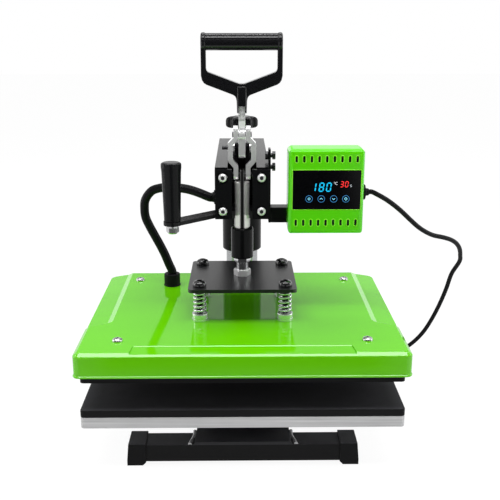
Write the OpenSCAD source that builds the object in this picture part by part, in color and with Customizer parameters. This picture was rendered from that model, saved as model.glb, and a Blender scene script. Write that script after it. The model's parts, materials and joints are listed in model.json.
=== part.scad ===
// Swing-away heat press: a green heat platen hangs on four springs from a lever-driven ram,
// over a padded lower platen, and the whole head swings round the rear post.
// Millimetres, +Z up, front towards -Y, origin at the middle of the footprint on the table.

/* [Platens] */
// Width of both platens
platen_w = 380; // [300:1:420]
// Depth of both platens
platen_d = 300; // [240:1:340]
// Thickness of the heated casting
heat_t = 15; // [12:0.5:18]
// Thickness of the lower aluminium plate
lower_t = 13.8; // [10:0.1:20]
// Thickness of the silicone pad
pad_t = 9.1; // [6:0.1:12]
// Open height between pad and heat platen
press_gap = 35.3; // [34:0.1:40]
// Corner radius of both platens
platen_corner = 5; // [3:0.5:10]

/* [Base] */
// Length of each cross foot over its end caps
foot_len = 282; // [240:1:340]
// Depth of the foot tube
foot_d = 30; // [24:1:36]
// Height of the foot tube
foot_h = 22; // [18:1:28]
// Wall of the foot tube
foot_wall = 2; // [1.5:0.1:3]
// Length of each end cap
cap_len = 23; // [16:1:30]
// Wall of an end cap around the tube
cap_wall = 2; // [1.5:0.1:3]
// Thickness of the sole under each end cap
cap_sole = 4.6; // [3:0.1:6]
// Width of the centre beam
beam_w = 115; // [100:1:140]
// Thickness of the centre beam's plate
beam_t = 3.8; // [3:0.1:5]
// Distance from the platen centre forward to the front foot
front_foot_y = 119; // [90:1:130]
// Overhang of the rear foot behind the post axis
rear_over = 41; // [36:1:60]
// Height of the pedestal under the lower platen
pedestal_h = 27.6; // [20:0.1:40]
// Width of the pedestal
pedestal_w = 90; // [70:1:98]
// Length of the pedestal
pedestal_d = 180; // [140:1:185]

/* [Post and arm] */
// Distance from the platen centre back to the post axis
reach = 196; // [190:1:230]
// Wall of the pivot sleeve round the post
sleeve_wall = 5.5; // [4:0.5:7]
// Wall of the post
post_wall = 4; // [3:0.5:6]
// Length of the sleeve below the arm
sleeve_drop = 99; // [60:1:110]
// Width of the arm
arm_w = 68; // [64:1:76]
// Height of the arm
arm_h = 65; // [62:1:72]
// Wall of the arm
arm_wall = 4.5; // [3:0.5:5]
// Overhang of the arm in front of the ram axis
arm_front = 24; // [22:1:30]
// Height of the arm's underside above the spring plate
arm_rise = 80.4; // [78:0.1:90]
// Width of the slot between the front plates
slot_w = 25.7; // [23:0.1:27]
// Thickness of the front plates
front_plate_t = 5; // [3:0.5:6]

/* [Platen cover] */
// Margin of the cover around the heat platen
cover_margin = 5.5; // [4.5:0.5:9]
// Height of the cover
cover_h = 30.3; // [28:0.1:40]
// Wall of the cover
cover_wall = 1.5; // [1:0.1:2]
// How far the heat platen stands out below the cover
platen_proud = 8.6; // [4:0.1:10]
// Flare of the cover's bottom lip
lip = 1; // [0.5:0.1:2]
// Corner radius of the cover
cover_corner = 7; // [5:0.5:12]
// Width of the chamfer round the cover's top
chamfer_w = 5; // [3:0.1:7]
// Height of the chamfer round the cover's top
chamfer_h = 4.2; // [3:0.1:6]
// Distance from the cover's side to the start of the side step
step_inset = 32.5; // [28:0.5:40]

/* [Springs and ram] */
// Width of the spring plate
spring_plate_w = 136; // [124:1:150]
// Depth of the spring plate
spring_plate_d = 125; // [110:1:140]
// Thickness of the spring plate
spring_plate_t = 4.6; // [3:0.1:6]
// Half distance between studs across the press
stud_x = 54; // [48:1:56]
// Half distance between studs along the press
stud_y = 47; // [40:1:50]
// Diameter of a stud
stud_d = 8; // [6:0.5:9]
// Outside diameter of a spring
spring_d = 17; // [15:0.5:19]
// Diameter of the spring wire
wire_d = 3; // [2.4:0.1:3.2]
// Curls in a spring
spring_turns = 5.5; // [4:0.5:6.5]
// Fitted length of a spring
spring_len = 30.9; // [28:0.1:36]
// Height of the collar under each spring
collar_h = 10; // [6:0.5:14]
// Diameter of the chrome ram shaft
ram_d = 20; // [19.5:0.1:22]
// Diameter of the barrel under the shaft
barrel_d = 28.5; // [26:0.5:32]
// Length of the barrel
barrel_len = 40; // [36:0.5:44]

/* [Lever and links] */
// Crank radius of the lever
crank_r = 24.7; // [24:0.1:25]
// Crank angle from upright at rest
crank_a = 40; // [38:1:42]
// Length of a link between pins
link_len = 51; // [50:0.1:52]
// Thickness of a link
link_t = 6; // [4.5:0.1:6.2]
// Width of a link
link_w = 14; // [12:0.5:15]
// Thickness of the lever bar
lever_t = 8.4; // [7:0.1:8.6]
// Distance from lever pivot to the top of the handle
handle_reach = 142; // [130:1:160]
// Width of the handle
handle_w = 100; // [90:1:110]
// Diameter of the handle's grip bar
grip_d = 20.6; // [18:0.1:24]
// Diameter of the pressure knob
knob_d = 42; // [34:0.5:46]
// Diameter of the pressure screw
screw_d = 10; // [8:0.5:12]

/* [Control box and swing handle] */
// Width of the control box
box_w = 94; // [90:1:110]
// Height of the control box
box_h = 106.5; // [104:0.5:120]
// Depth of the control box
box_d = 36; // [35:1:50]
// Wall of the control box
box_wall = 2; // [1.5:0.1:3]
// Edge radius of the control box
box_r = 6; // [3:0.5:8]
// Gap between arm bracket and control box
box_gap = 20; // [16:1:30]
// Side of the square tube that carries the control box
tube_s = 20; // [16:1:24]
// Sideways distance of the swing grip from the ram
swing_x = 87; // [80:1:100]
// Forward distance of the swing grip from the ram
swing_y = 32; // [24:1:40]
// Length of the swing grip
swing_len = 74; // [60:1:90]

/* [Hose and cord] */
// Outside diameter of the platen's wiring hose
hose_d = 12.5; // [10:0.5:13]
// Diameter of the mains cord
cord_d = 6.3; // [5.5:0.1:6.4]
// Turns in each layer of the put-away coil
coil_turns = 2; // [1:1:3]

/* [Hidden] */
$fn = 64;
// Radial clearance of running fits
run = 0.05;
// Gap between faces of pieces that move past each other
gap = 0.3;
tiny = 0.01;
// Thread sizes
m3 = 3;
m4 = 4;
m5 = 5;
m6 = 6;
m8 = 8;

// Plan positions
cover_w = platen_w + 2 * (cover_margin + 1);
lower_w = platen_w + 4;
cover_d = platen_d + 2 * (cover_margin + 0.5);
platen_y = (cover_d / 2 + lip - reach - rear_over) / 2;
post_y = platen_y + reach;
cap_d = foot_d + 2 * cap_wall;
front_y = platen_y - front_foot_y;
rear_y = post_y + rear_over - cap_d / 2;

// Heights, stacked from the table
tube_top = cap_sole + foot_h;
beam_top = tube_top + beam_t;
lower_z = beam_top + pedestal_h;
pad_z = lower_z + lower_t;
heat_z = pad_z + pad_t + press_gap;
cover_z = heat_z + platen_proud;
cover_top = cover_z + cover_h;
collar_top = cover_top + collar_h;
plate_z = collar_top + spring_len;
plate_top = plate_z + spring_plate_t;
arm_z = plate_top + arm_rise;
arm_top = arm_z + arm_h;
// The pivot sleeve fills the arm from wall to wall
sleeve_d = arm_w - 2 * arm_wall;
post_d = sleeve_d - 2 * sleeve_wall;
arm_back = reach + sleeve_d / 2 + 9;

// Ram stack above the spring plate
nut_h = 8.4;
neck_h = 10;
flange_h = 6;
nut_w = 19.4;
nut_corner = nut_w / 2 + 1.6;
ram_stud_d = 15.5;
ram_socket = 12;
barrel_z = plate_top + nut_h + neck_h + flange_h;
barrel_top = barrel_z + barrel_len;

// Lever geometry, seen from the side with the ram axis at y = 0
pivot_y = 18;
pivot_z = arm_top + 19;
pin_b = [pivot_y - crank_r * sin(crank_a), pivot_z + crank_r * cos(crank_a)];
slot_y = 3.6;
pin_c = [slot_y, pin_b[1] - link_len];
pin_d = 6;
pivot_d = 8;
ram_top = pin_c[1] - 8;
tang_top = pin_c[1] + 8;
tang_t = 5.5;
link_x = lever_t / 2 + 0.55 + link_t / 2;
bulge_x = 14.5;
opening_w = 2 * (bulge_x + link_t / 2 + 0.75);
screw_y = 46;
block_back = screw_y + 12;
cheek_x = lever_t / 2 + gap;
cheek_t = 5;
cheek_r = 6.5;
pivot_nut_t = 4;
knob_z = arm_top + 41;
knob_h = 15;
knob_bore = knob_h * 0.6;
guide_h = 9;

// Control box place
bracket_t = 3;
box_x = arm_w / 2 + bracket_t + box_gap;
box_z = arm_z - 17;
box_y = -34;
box_back_y = box_y + box_d;
box_boss = 8;
box_screw_l = 12;
gland_z = box_z + 50;
gland_y = box_y + box_d / 2;

// Swing handle place
bar_t = 5;
bar_w = 20;

// Hose and cord places
hose_gland = [-stud_x - 46.5, platen_d / 2 - 55];
hose_gland_h = 17.5;
hose_gland_d = hose_d + 10;
arm_gland = [62, arm_z + 10];
arm_gland_len = 6;
cord_r = cord_d / 2;
tie_t = 0.7;
coil_pitch = cord_d + 0.5;
coil_r = 42;
coil_c = [beam_w / 2 + 54.5, rear_y - cap_d / 2 - 51];
coil_z = cord_r + tie_t + 0.2;
coil_start = [coil_c[0] + 1.5 * cord_d, coil_c[1] + coil_r, coil_z];
boot_len = 5;
cord_start = [box_x + box_w + 3.5 + boot_len, platen_y + gland_y, gland_z];
hose_start = [hose_gland[0], platen_y + hose_gland[1], cover_top + hose_gland_h];
hose_end = [-arm_w / 2 - arm_gland_len, platen_y + arm_gland[0], arm_gland[1]];

// Pedestal, post and flange
pedestal_wall = 4;
pedestal_y = platen_y + 10;
pedestal_thread = lower_t * 0.6;
post_top = arm_top - arm_wall - 5;
flange_t = 8;

// Screws of the front plates, and depth of the ram guide
front_screw_x = arm_w / 2 - 9.8;
front_screw_z = 9.8;
front_screw_l = front_plate_t + 12;
front_recess = 1.2;
guide_back = 20;

// Bracket of the control box
bracket_y = [16, 78];
tube_z = arm_z - 11;
bracket_bolts_at = [[24, arm_top + 8], [24, arm_top - 7], [66, arm_top - 7], [66, arm_top - 40]];

// Touch panel and vents
panel_w = 84;
panel_h = 49;
panel_z = 50.3;
panel_x = 5.4;
vent_count = 9;
vent_pitch = 9.33;
vent_w = 2.8;
vent_len = 8;
vent_rows = [14.7, 94.4];

// Inner end of the swing bar
swing_in = [-12, 36.5];

// Handle
hand_y = 2;
handle_top = pivot_z + handle_reach;
bar_z = handle_top - grip_d / 2;
stem_z = handle_top - 96;
stem_top = handle_top - 66;
lever_end = stem_z + 25;
lever_bar_w = 14;
handle_screw_z = [stem_z + 8, stem_z + 18];
stem_half = 6;
stem_fork = 8.7;

// Centre line of the right link, seen from the front
link_line = [[link_x, pin_b[1] + link_w], [link_x, pin_b[1] - 4.5], [bulge_x, pin_b[1] - 11.5],
             [bulge_x, pin_b[1] - link_len + 18.5], [link_x, pin_c[1] + 10.5], [link_x, pin_c[1] - link_w]];

// Heating element and cover fixings
element_d = 8.5;
element_pitch = 70;
element_len = 240;
heat_top = heat_z + heat_t;
standoff = [platen_w / 2 - 41, platen_d / 2 - 34];
standoff_h = cover_top - cover_wall - heat_top;
cover_screw_l = 10;
stud_in = 8;

// Side step of the cover
step_y = 101;
step_drop = 4.2;
step_run = 9.5;
shelf_drop = 3.7;
step_slant = 16;
// Bevel along the cover's front edge
bevel_w = 256;
bevel_d = 24;
bevel_drop = 2;

// Plug
// The plug's neck starts clear of the coil's outer turn
plug_neck_d = 2 * cord_d + 0.4;
plug_x = coil_c[0] + sqrt(pow(coil_r + cord_r, 2) - pow(coil_r - plug_neck_d / 2, 2)) + 1;

// Hose route: offsets from its two ends, from the cover's gland round to the arm's left wall
hose_rise = [[0, 0, 4], [-4.2, 0, 14], [-9.6, 0, 28.2], [-16.2, -0.5, 42.8], [-22.6, -1.5, 55.9],
             [-29.5, -3, 70.5], [-34.3, -5, 83.5], [-35.2, -7, 96.4]];
hose_fall = [[-94, 24, -9.2], [-86.6, 22, 2], [-77.3, 20, 7.4], [-58.9, 15, 10.9], [-39.3, 10, 9.7],
             [-28.8, 7, 8], [-16.9, 3.4, 4.6], [-4, 0, 0]];
hose_route = concat([hose_start], [for (v = hose_rise) hose_start + v],
  [for (v = hose_fall) hose_end + v], [hose_end]);

// Cord route: offsets from its two ends, from the control box down to the coil on the table
cord_drop = [[4, 0, 0], [12, 2, -4.2], [22.9, 7.4, -11], [34.6, 13.1, -19.7], [46.7, 19.6, -30.1],
             [59.3, 26.7, -42.2], [72.1, 34.5, -54], [85.2, 42.8, -63.6], [98.4, 51.6, -70.8],
             [113.7, 60.9, -76.1], [127.5, 70.6, -82.4], [138.1, 80.6, -90.6], [145.7, 91.1, -101.3],
             [150.2, 101.9, -113.3], [152.5, 112, -126.1]];
cord_lie = [[185.5, -80, 160], [182.5, -67, 132], [177.5, -55, 104], [170.5, -43, 76], [160.5, -32, 49],
            [146.5, -21, 26], [128.5, -12, 9], [106.5, -5, 1], [82.5, -1, 0], [56.5, 0, 0], [30.5, 0, 0],
            [cord_d, 0, 0]];
cord_route = concat([cord_start], [for (v = cord_drop) cord_start + v],
  [for (v = cord_lie) coil_start + v], [coil_start]);

// Shapes that repeat

// A line's corners moved sideways by d, and a list from back to front
function beside(p, d) = [for (i = [0 : len(p) - 1])
  let (a = p[min(i + 1, len(p) - 1)] - p[min(i, len(p) - 2)], b = p[max(i, 1)] - p[max(i - 1, 0)],
       m = a / norm(a) + b / norm(b), n = [-m[1], m[0]] / norm(m))
  p[i] + n * d / (n * [-a[1], a[0]] / norm(a))];
function back_to_front(p) = [for (i = [len(p) - 1 : -1 : 0]) p[i]];

module rounded_slab(w, d, h, r) {
  linear_extrude(h) union() {
    square([w - 2 * r, d], center = true);
    square([w, d - 2 * r], center = true);
    for (x = [-1, 1], y = [-1, 1]) translate([x * (w / 2 - r), y * (d / 2 - r)]) circle(r);
  }
}

module four(x, y) {
  for (sx = [-1, 1], sy = [-1, 1]) translate([sx * x, sy * y, 0]) children();
}

module both_sides() {
  children();
  mirror([1, 0, 0]) children();
}

module hex_bar(across, h) {
  cylinder(d = across / cos(30), h = h, $fn = 6);
}

// A rod along X through the point [y, z], from x0 to x1
module rod_x(p, d, x0, x1) {
  translate([x0, p[0], p[1]]) rotate([0, 90, 0]) cylinder(d = d, h = x1 - x0);
}

// A plate in the YZ plane drawn by its children, from x0 to x1
module plate_x(x0, x1) {
  translate([x0, 0, 0]) rotate([90, 0, 90]) linear_extrude(x1 - x0) children();
}

// A flat bar between two points of a drawing, with round ends
module bar_2d(a, b, w) {
  v = b - a;
  translate(a) rotate(atan2(v[1], v[0])) translate([0, -w / 2]) square([norm(v), w]);
  translate(a) circle(d = w);
  translate(b) circle(d = w);
}

// A pan head with a shallow crown, on z = 0
module pan_head(d, h) {
  rotate_extrude() polygon([[0, 0], [d / 2, 0], [d / 2, h * 0.45], [d * 0.38, h * 0.85], [d * 0.2, h], [0, h]]);
}

module head_frame() {
  translate([0, platen_y, 0]) children();
}

// Tubes swept along a route

function unit(v) = v / norm(v);
function at(p, i) = p[max(0, min(len(p) - 1, i))];
function spline_point(a, b, c, d, t) =
  0.5 * (2 * b + (c - a) * t + (2 * a - 5 * b + 4 * c - d) * t * t + (3 * b - a - 3 * c + d) * t * t * t);
function smooth(p, n) = concat(
  [for (i = [0 : len(p) - 2], k = [0 : n - 1])
    spline_point(at(p, i - 1), p[i], p[i + 1], at(p, i + 2), k / n)],
  [p[len(p) - 1]]);
// The same with its first and last legs straight, so that each end stands square
function smooth_between(p, n) = let (s = smooth(p, n), m = len(s) - 1, e = len(p) - 1)
  [for (i = [0 : m]) i < n ? p[0] + (p[1] - p[0]) * i / n
    : i > m - n ? p[e] + (p[e - 1] - p[e]) * (m - i) / n : s[i]];
function tangent(p, i) = unit(at(p, i + 1) - at(p, i - 1));
function ring(c, t, up, r, sides) =
  let (u = unit(cross(up, t)), v = cross(t, u))
  [for (k = [0 : sides - 1]) c + r * (u * cos(k * 360 / sides) + v * sin(k * 360 / sides))];

module tube_along(path, d, sides, up) {
  n = len(path);
  rings = [for (i = [0 : n - 1]) each ring(path[i], tangent(path, i), up, d / 2, sides)];
  points = concat(rings, [path[0], path[n - 1]]);
  walls = [for (i = [0 : n - 2], k = [0 : sides - 1])
    let (a = i * sides + k, b = i * sides + (k + 1) % sides)
    each [[a, a + sides, b], [b, a + sides, b + sides]]];
  caps = [for (k = [0 : sides - 1])
    each [[n * sides, k, (k + 1) % sides],
          [n * sides + 1, (n - 1) * sides + (k + 1) % sides, (n - 1) * sides + k]]];
  polyhedron(points, concat(walls, caps));
}

function path_length(p) = len(p) < 2 ? 0 : [for (i = 0, s = 0; i < len(p) - 1;
  s = s + norm(p[i + 1] - p[i]), i = i + 1) s + norm(p[i + 1] - p[i])][len(p) - 2];
// Least gap between a tube's stretches that lie at least one span of rings apart
function self_gap(p, d, span) = min([for (i = [0 : len(p) - 1 - span], j = [i + span : len(p) - 1])
  norm(p[i] - p[j])]) - d;

// Base

module base_frame() {
  tube_l = foot_len - 2 * cap_wall;
  color([0.09, 0.09, 0.1]) difference() {
    union() {
      for (y = [front_y, rear_y])
        translate([-tube_l / 2, y - foot_d / 2, cap_sole]) cube([tube_l, foot_d, foot_h]);
      // centre beam: a channel over both tubes, with its edges flared where it is welded on
      translate([-beam_w / 2, front_y - foot_d / 2, cap_sole])
        cube([beam_w, rear_y - front_y + foot_d, foot_h + beam_t]);
      for (y = [front_y, rear_y], s = [-1, 1])
        translate([s * beam_w / 2, y + foot_d / 2, tube_top]) rotate([90, 0, 0])
          linear_extrude(foot_d) polygon([[-s, 0], [s * 5, 0], [s * 1.6, 1.4], [0, beam_t], [-s, beam_t]]);
    }
    for (y = [front_y, rear_y])
      translate([-tube_l / 2 - 1, y - foot_d / 2 + foot_wall, cap_sole + foot_wall])
        cube([tube_l + 2, foot_d - 2 * foot_wall, foot_h - 2 * foot_wall]);
    translate([-beam_w / 2 + beam_t, front_y + foot_d / 2, cap_sole - 1])
      cube([beam_w - 2 * beam_t, rear_y - front_y - foot_d, foot_h + 1]);
    flange_bolt_places() translate([0, 0, -beam_t - m8]) cylinder(d = m8, h = beam_t + m8 + 1);
  }
}

// An end cap's outline, seen from the front, on the right side
module cap_outline() {
  chamfer = 4;
  polygon([[foot_len / 2 - cap_len + chamfer, 0], [foot_len / 2, 0], [foot_len / 2, cap_sole + 2],
           [foot_len / 2 - 2, tube_top + cap_wall], [foot_len / 2 - cap_len, tube_top + cap_wall],
           [foot_len / 2 - cap_len, chamfer]]);
}

module foot_caps() {
  color([0.06, 0.06, 0.065])
    for (y = [front_y, rear_y]) both_sides() difference() {
      translate([0, y + cap_d / 2, 0]) rotate([90, 0, 0]) linear_extrude(cap_d) cap_outline();
      translate([foot_len / 2 - cap_wall - foot_len, y - foot_d / 2, cap_sole])
        cube([foot_len, foot_d, foot_h]);
    }
}

module flange_bolt_places() {
  translate([0, post_y, beam_top]) four(post_d / 2 + 14, post_d / 2 - 3) children();
}

module pedestal_bolt_places() {
  translate([0, pedestal_y, lower_z - pedestal_wall]) four(pedestal_w / 2 - 15, pedestal_d / 2 - 20) children();
}

module platen_pedestal() {
  wall = pedestal_wall;
  color([0.09, 0.09, 0.1]) difference() {
    translate([-pedestal_w / 2, pedestal_y - pedestal_d / 2, beam_top]) difference() {
      cube([pedestal_w, pedestal_d, pedestal_h]);
      translate([wall, -1, wall]) cube([pedestal_w - 2 * wall, pedestal_d + 2, pedestal_h - 2 * wall]);
    }
    pedestal_bolt_places() translate([0, 0, -1]) cylinder(d = m8, h = wall + 2);
  }
}

module pedestal_bolts() {
  head_h = 5;
  color([0.6, 0.6, 0.62]) pedestal_bolt_places() {
    translate([0, 0, -head_h]) hex_bar(13, head_h);
    cylinder(d = m8, h = pedestal_wall + pedestal_thread);
  }
}

module lower_platen() {
  color([0.72, 0.73, 0.74]) difference() {
    translate([0, platen_y, lower_z]) rounded_slab(lower_w, platen_d, lower_t, platen_corner);
    pedestal_bolt_places() cylinder(d = m8, h = pedestal_wall + pedestal_thread);
  }
}

module silicone_pad() {
  color([0.1, 0.1, 0.11]) translate([0, platen_y, pad_z])
    rounded_slab(lower_w, platen_d, pad_t, platen_corner);
}

// Post

module post() {
  color([0.78, 0.79, 0.8]) translate([0, post_y, beam_top]) difference() {
    cylinder(d = post_d, h = post_top - beam_top);
    translate([0, 0, -1]) cylinder(d = post_d - 2 * post_wall, h = post_top - beam_top + 2);
  }
}

module post_flange() {
  color([0.09, 0.09, 0.1]) difference() {
    translate([0, post_y, beam_top]) difference() {
      union() {
        rounded_slab(post_d + 48, post_d + 16, flange_t, 8);
        cylinder(d = post_d + 14, h = flange_t + 10);
      }
      translate([0, 0, -1]) cylinder(d = post_d, h = flange_t + 12);
    }
    flange_bolt_places() translate([0, 0, -1]) cylinder(d = m8, h = flange_t + 2);
  }
}

module flange_bolts() {
  color([0.6, 0.6, 0.62]) flange_bolt_places() {
    translate([0, 0, flange_t]) hex_bar(13, 5.5);
    translate([0, 0, -beam_t - m8]) cylinder(d = m8, h = flange_t + beam_t + m8);
  }
}

// Arm

module pivot_sleeve() {
  color([0.05, 0.05, 0.055]) translate([0, post_y, arm_z - sleeve_drop]) difference() {
    cylinder(d = sleeve_d, h = sleeve_drop + arm_h - arm_wall);
    translate([0, 0, -1]) cylinder(d = post_d + 2 * run, h = sleeve_drop + arm_h);
    // eased lower edge
    translate([0, 0, -tiny]) difference() {
      cylinder(d = sleeve_d + 2, h = 1.5);
      translate([0, 0, -tiny]) cylinder(d1 = sleeve_d - 3, d2 = sleeve_d, h = 1.5 + 2 * tiny);
    }
  }
}

module thrust_washer() {
  color([0.72, 0.58, 0.3]) translate([0, post_y, post_top + run])
    cylinder(d = post_d - 1, h = arm_top - arm_wall - post_top - run);
}

module arm() {
  y0 = front_plate_t - arm_front;
  inner = arm_w - 2 * arm_wall;
  color([0.05, 0.05, 0.055]) head_frame() difference() {
    translate([-arm_w / 2, y0, arm_z]) cube([arm_w, arm_back - y0, arm_h]);
    translate([-inner / 2, y0 - 1, arm_z + arm_wall])
      cube([inner, arm_back - y0 + 1 - arm_wall, arm_h - 2 * arm_wall]);
    // opening in the top for links and pivot block
    translate([-opening_w / 2, y0 - 1, arm_top - arm_wall - 1])
      cube([opening_w, block_back + 2 * run - y0 + 1, arm_wall + 2]);
    // opening in the underside for the ram guide
    translate([-inner / 2, y0 - 1, arm_z - 1]) cube([inner, guide_back - y0 + 1, arm_wall + 2]);
    translate([0, reach, arm_z - 1]) cylinder(d = sleeve_d, h = arm_wall + 2);
    rod_x([arm_gland[0], arm_gland[1]], 12, -arm_w / 2 - 1, 0);
    bracket_bolt_places() rod_x([0, 0], m6, arm_w / 2 - arm_wall - 1, arm_w / 2 + 1);
    swing_screw_places() translate([0, 0, arm_z - 1]) cylinder(d = m6, h = arm_wall + 2);
  }
}

module front_screw_places() {
  for (x = [-1, 1], z = [arm_z + front_screw_z, arm_top - front_screw_z - 2.6])
    translate([x * front_screw_x, -arm_front, z]) rotate([-90, 0, 0]) children();
}

module front_plates() {
  recess_d = 15.5;
  color([0.05, 0.05, 0.055]) head_frame() difference() {
    both_sides() translate([slot_w / 2, -arm_front, arm_z])
      cube([(arm_w - slot_w) / 2, front_plate_t, arm_h - 2]);
    front_screw_places() translate([0, 0, -1]) {
      cylinder(d = recess_d, h = 1 + front_recess);
      cylinder(d = m6, h = front_plate_t + 2);
    }
  }
}

module front_plate_screws() {
  head_d = 10.8;
  head_h = 3.6;
  color([0.75, 0.75, 0.76]) head_frame() front_screw_places() difference() {
    union() {
      translate([0, 0, front_recess]) mirror([0, 0, 1]) pan_head(head_d, head_h);
      cylinder(d = m6, h = front_screw_l);
    }
    translate([0, 0, front_recess - head_h - 1]) hex_bar(4, 3.2);
  }
}

// U-shaped block behind the front plates; its foot wraps the ram shaft and is open to the front
module ram_guide() {
  inner = arm_w - 2 * arm_wall;
  mouth = 18;
  color([0.2, 0.2, 0.21]) head_frame() difference() {
    translate([-inner / 2, front_plate_t - arm_front, arm_z])
      cube([inner, guide_back + arm_front - front_plate_t, arm_h - arm_wall]);
    translate([-opening_w / 2, -arm_front, arm_z + guide_h]) cube([opening_w, 2 * arm_front, arm_h]);
    translate([0, 0, arm_z - 1]) cylinder(d = ram_d + 2 * run, h = guide_h + 2);
    translate([-mouth / 2, -arm_front, arm_z - 1]) cube([mouth, arm_front, guide_h + 2]);
    front_screw_places() cylinder(d = m6, h = front_screw_l);
  }
}

// Control box on its bracket

module bracket_bolt_places() {
  for (p = [for (i = [1 : 3]) bracket_bolts_at[i]]) translate([0, p[0], p[1]]) children();
}

module box_bracket() {
  color([0.05, 0.05, 0.055]) head_frame() plate_x(arm_w / 2, arm_w / 2 + bracket_t) difference() {
    union() {
      translate([bracket_y[0], arm_z]) square([bracket_y[1] - bracket_y[0], arm_h]);
      translate([bracket_y[0], arm_top - 1]) square([16, 18]);
      translate([box_back_y, tube_z]) square([36, arm_z - tube_z + 1]);
      translate([box_back_y, arm_z]) square([bracket_y[0] - box_back_y + 1, tube_s + tube_z - arm_z]);
    }
    for (p = bracket_bolts_at) translate(p) circle(d = m6);
    translate([box_back_y + tube_s / 2, tube_z + tube_s / 2]) circle(d = tube_s - 8);
  }
}

module bracket_bolts() {
  head_h = 4;
  washer = 2.2;
  x0 = arm_w / 2;
  x1 = x0 + bracket_t;
  color([0.55, 0.55, 0.57]) head_frame() for (p = bracket_bolts_at) {
    // the front two stand proud, the rear two are flush with the plate
    proud = p[0] < bracket_y[0] + 16 ? washer + head_h : 0;
    // the top bolt stands clear of the arm and has a nut behind the plate
    rod_x(p, m6, x0 - (p[1] > arm_top ? head_h : arm_wall), x1 + proud);
    if (proud > 0) translate([x1 + washer, p[0], p[1]]) rotate([0, 90, 0]) hex_bar(9.5, head_h);
    if (p[1] > arm_top) translate([x0 - head_h, p[0], p[1]]) rotate([0, 90, 0]) hex_bar(9.5, head_h);
  }
}

module box_tube() {
  wall = 2;
  len = box_gap + box_w * 0.6;
  color([0.05, 0.05, 0.055]) head_frame() translate([arm_w / 2 + bracket_t, box_back_y, tube_z])
    difference() {
      cube([len, tube_s, tube_s]);
      translate([-1, wall, wall]) cube([len + 2, tube_s - 2 * wall, tube_s - 2 * wall]);
    }
}

// The control box's outer form, drawn in by an inset on every side but the back
module box_form(inset) {
  r = max(box_r - inset, 1);
  w = box_w - 2 * inset;
  h = box_h - 2 * inset;
  d = box_d - box_wall - inset;
  translate([box_x + box_w / 2, box_y + inset, box_z + box_h / 2]) intersection() {
    rotate([-90, 0, 0]) rounded_slab(w, h, d, r);
    plate_x(-w / 2, w / 2) union() {
      translate([0, r - h / 2]) square([r, h - 2 * r]);
      translate([r, -h / 2]) square([d - r, h]);
      for (s = [-1, 1]) translate([r, s * (h / 2 - r)]) circle(r);
    }
    translate([0, 0, -h / 2]) linear_extrude(h) union() {
      translate([r - w / 2, 0]) square([w - 2 * r, r]);
      translate([-w / 2, r]) square([w, d - r]);
      for (s = [-1, 1]) translate([s * (w / 2 - r), r]) circle(r);
    }
  }
}

module box_vents() {
  for (z = vent_rows, i = [0 : vent_count - 1])
    translate([box_x + box_w / 2 + (i - (vent_count - 1) / 2) * vent_pitch, box_y, box_z + z])
      rotate([90, 0, 0]) translate([0, 0, -box_wall - 1]) linear_extrude(box_wall + 2) union() {
        square([vent_w, vent_len - vent_w], center = true);
        for (s = [-1, 1]) translate([0, s * (vent_len - vent_w) / 2]) circle(d = vent_w);
      }
}

module panel_block(t) {
  translate([box_x + panel_x, box_y - 0.4, box_z + panel_z - panel_h / 2 + 6]) cube([panel_w, t, panel_h]);
}

module box_shell() {
  color([0.36, 0.85, 0.05]) head_frame() difference() {
    box_form(0);
    difference() {
      box_form(box_wall);
      box_screw_places() rotate([90, 0, 0]) cylinder(d = 9, h = box_d);
    }
    translate([box_x + box_wall + box_r, box_back_y - box_wall - 1, box_z + box_wall + box_r])
      cube([box_w - 2 * (box_wall + box_r), 2, box_h - 2 * (box_wall + box_r)]);
    box_vents();
    panel_block(box_wall + 2);
    box_screw_places() rotate([90, 0, 0]) cylinder(d = m3, h = box_screw_l + 1);
    rod_x([gland_y, gland_z], 12, box_x + box_w - 8, box_x + box_w + 1);
  }
}

module box_screw_places() {
  // three corners; the square tube takes the fourth
  right = box_w - box_boss;
  top = box_h - box_boss;
  for (p = [[box_boss, top], [right, top], [right, box_boss]])
    translate([box_x + p[0], box_back_y, box_z + p[1]]) children();
}

module box_back() {
  color([0.36, 0.85, 0.05]) head_frame() difference() {
    translate([box_x + box_w / 2, box_back_y, box_z + box_h / 2]) rotate([90, 0, 0])
      rounded_slab(box_w, box_h, box_wall, box_r);
    box_screw_places() rotate([90, 0, 0]) translate([0, 0, -1]) cylinder(d = m3, h = box_wall + 2);
    // wires come in from the tube
    translate([box_x + 16, box_back_y + 1, tube_z + tube_s / 2])
      rotate([90, 0, 0]) cylinder(d = 10, h = box_wall + 2);
  }
}

module box_screws() {
  color([0.6, 0.6, 0.62]) head_frame() box_screw_places() {
    rotate([-90, 0, 0]) pan_head(6, 2.2);
    rotate([90, 0, 0]) cylinder(d = m3, h = box_screw_l);
  }
}

module display_panel() {
  color([0.02, 0.02, 0.025]) head_frame() panel_block(box_wall + 1.4);
}

module control_board() {
  board_t = 1.6;
  board_y = 16;
  margin = 20;
  // the right end stops short of the cord gland
  board_w = box_w - 2 * box_wall - 14;
  pillar_l = board_y - box_wall - 1;
  color([0.1, 0.35, 0.2]) head_frame() translate([box_x + box_wall, box_y + board_y, box_z + margin]) {
    cube([board_w, board_t, box_h - 2 * margin]);
    // transformer, relay and terminal row
    translate([10, board_t, 8]) cube([26, 15, 24]);
    translate([46, board_t, 10]) cube([16, 12, 20]);
    translate([12, board_t, 44]) cube([50, 9, 12]);
    // pillars that space the board off the touch panel
    for (x = [16, board_w - 12], z = [24, 44])
      translate([x, 0, z]) rotate([90, 0, 0]) cylinder(d = 5, h = pillar_l);
  }
}

// Swing handle

module swing_screw_places() {
  for (p = [[-24, 25.7], swing_in]) translate([p[0], p[1], 0]) children();
}

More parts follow.
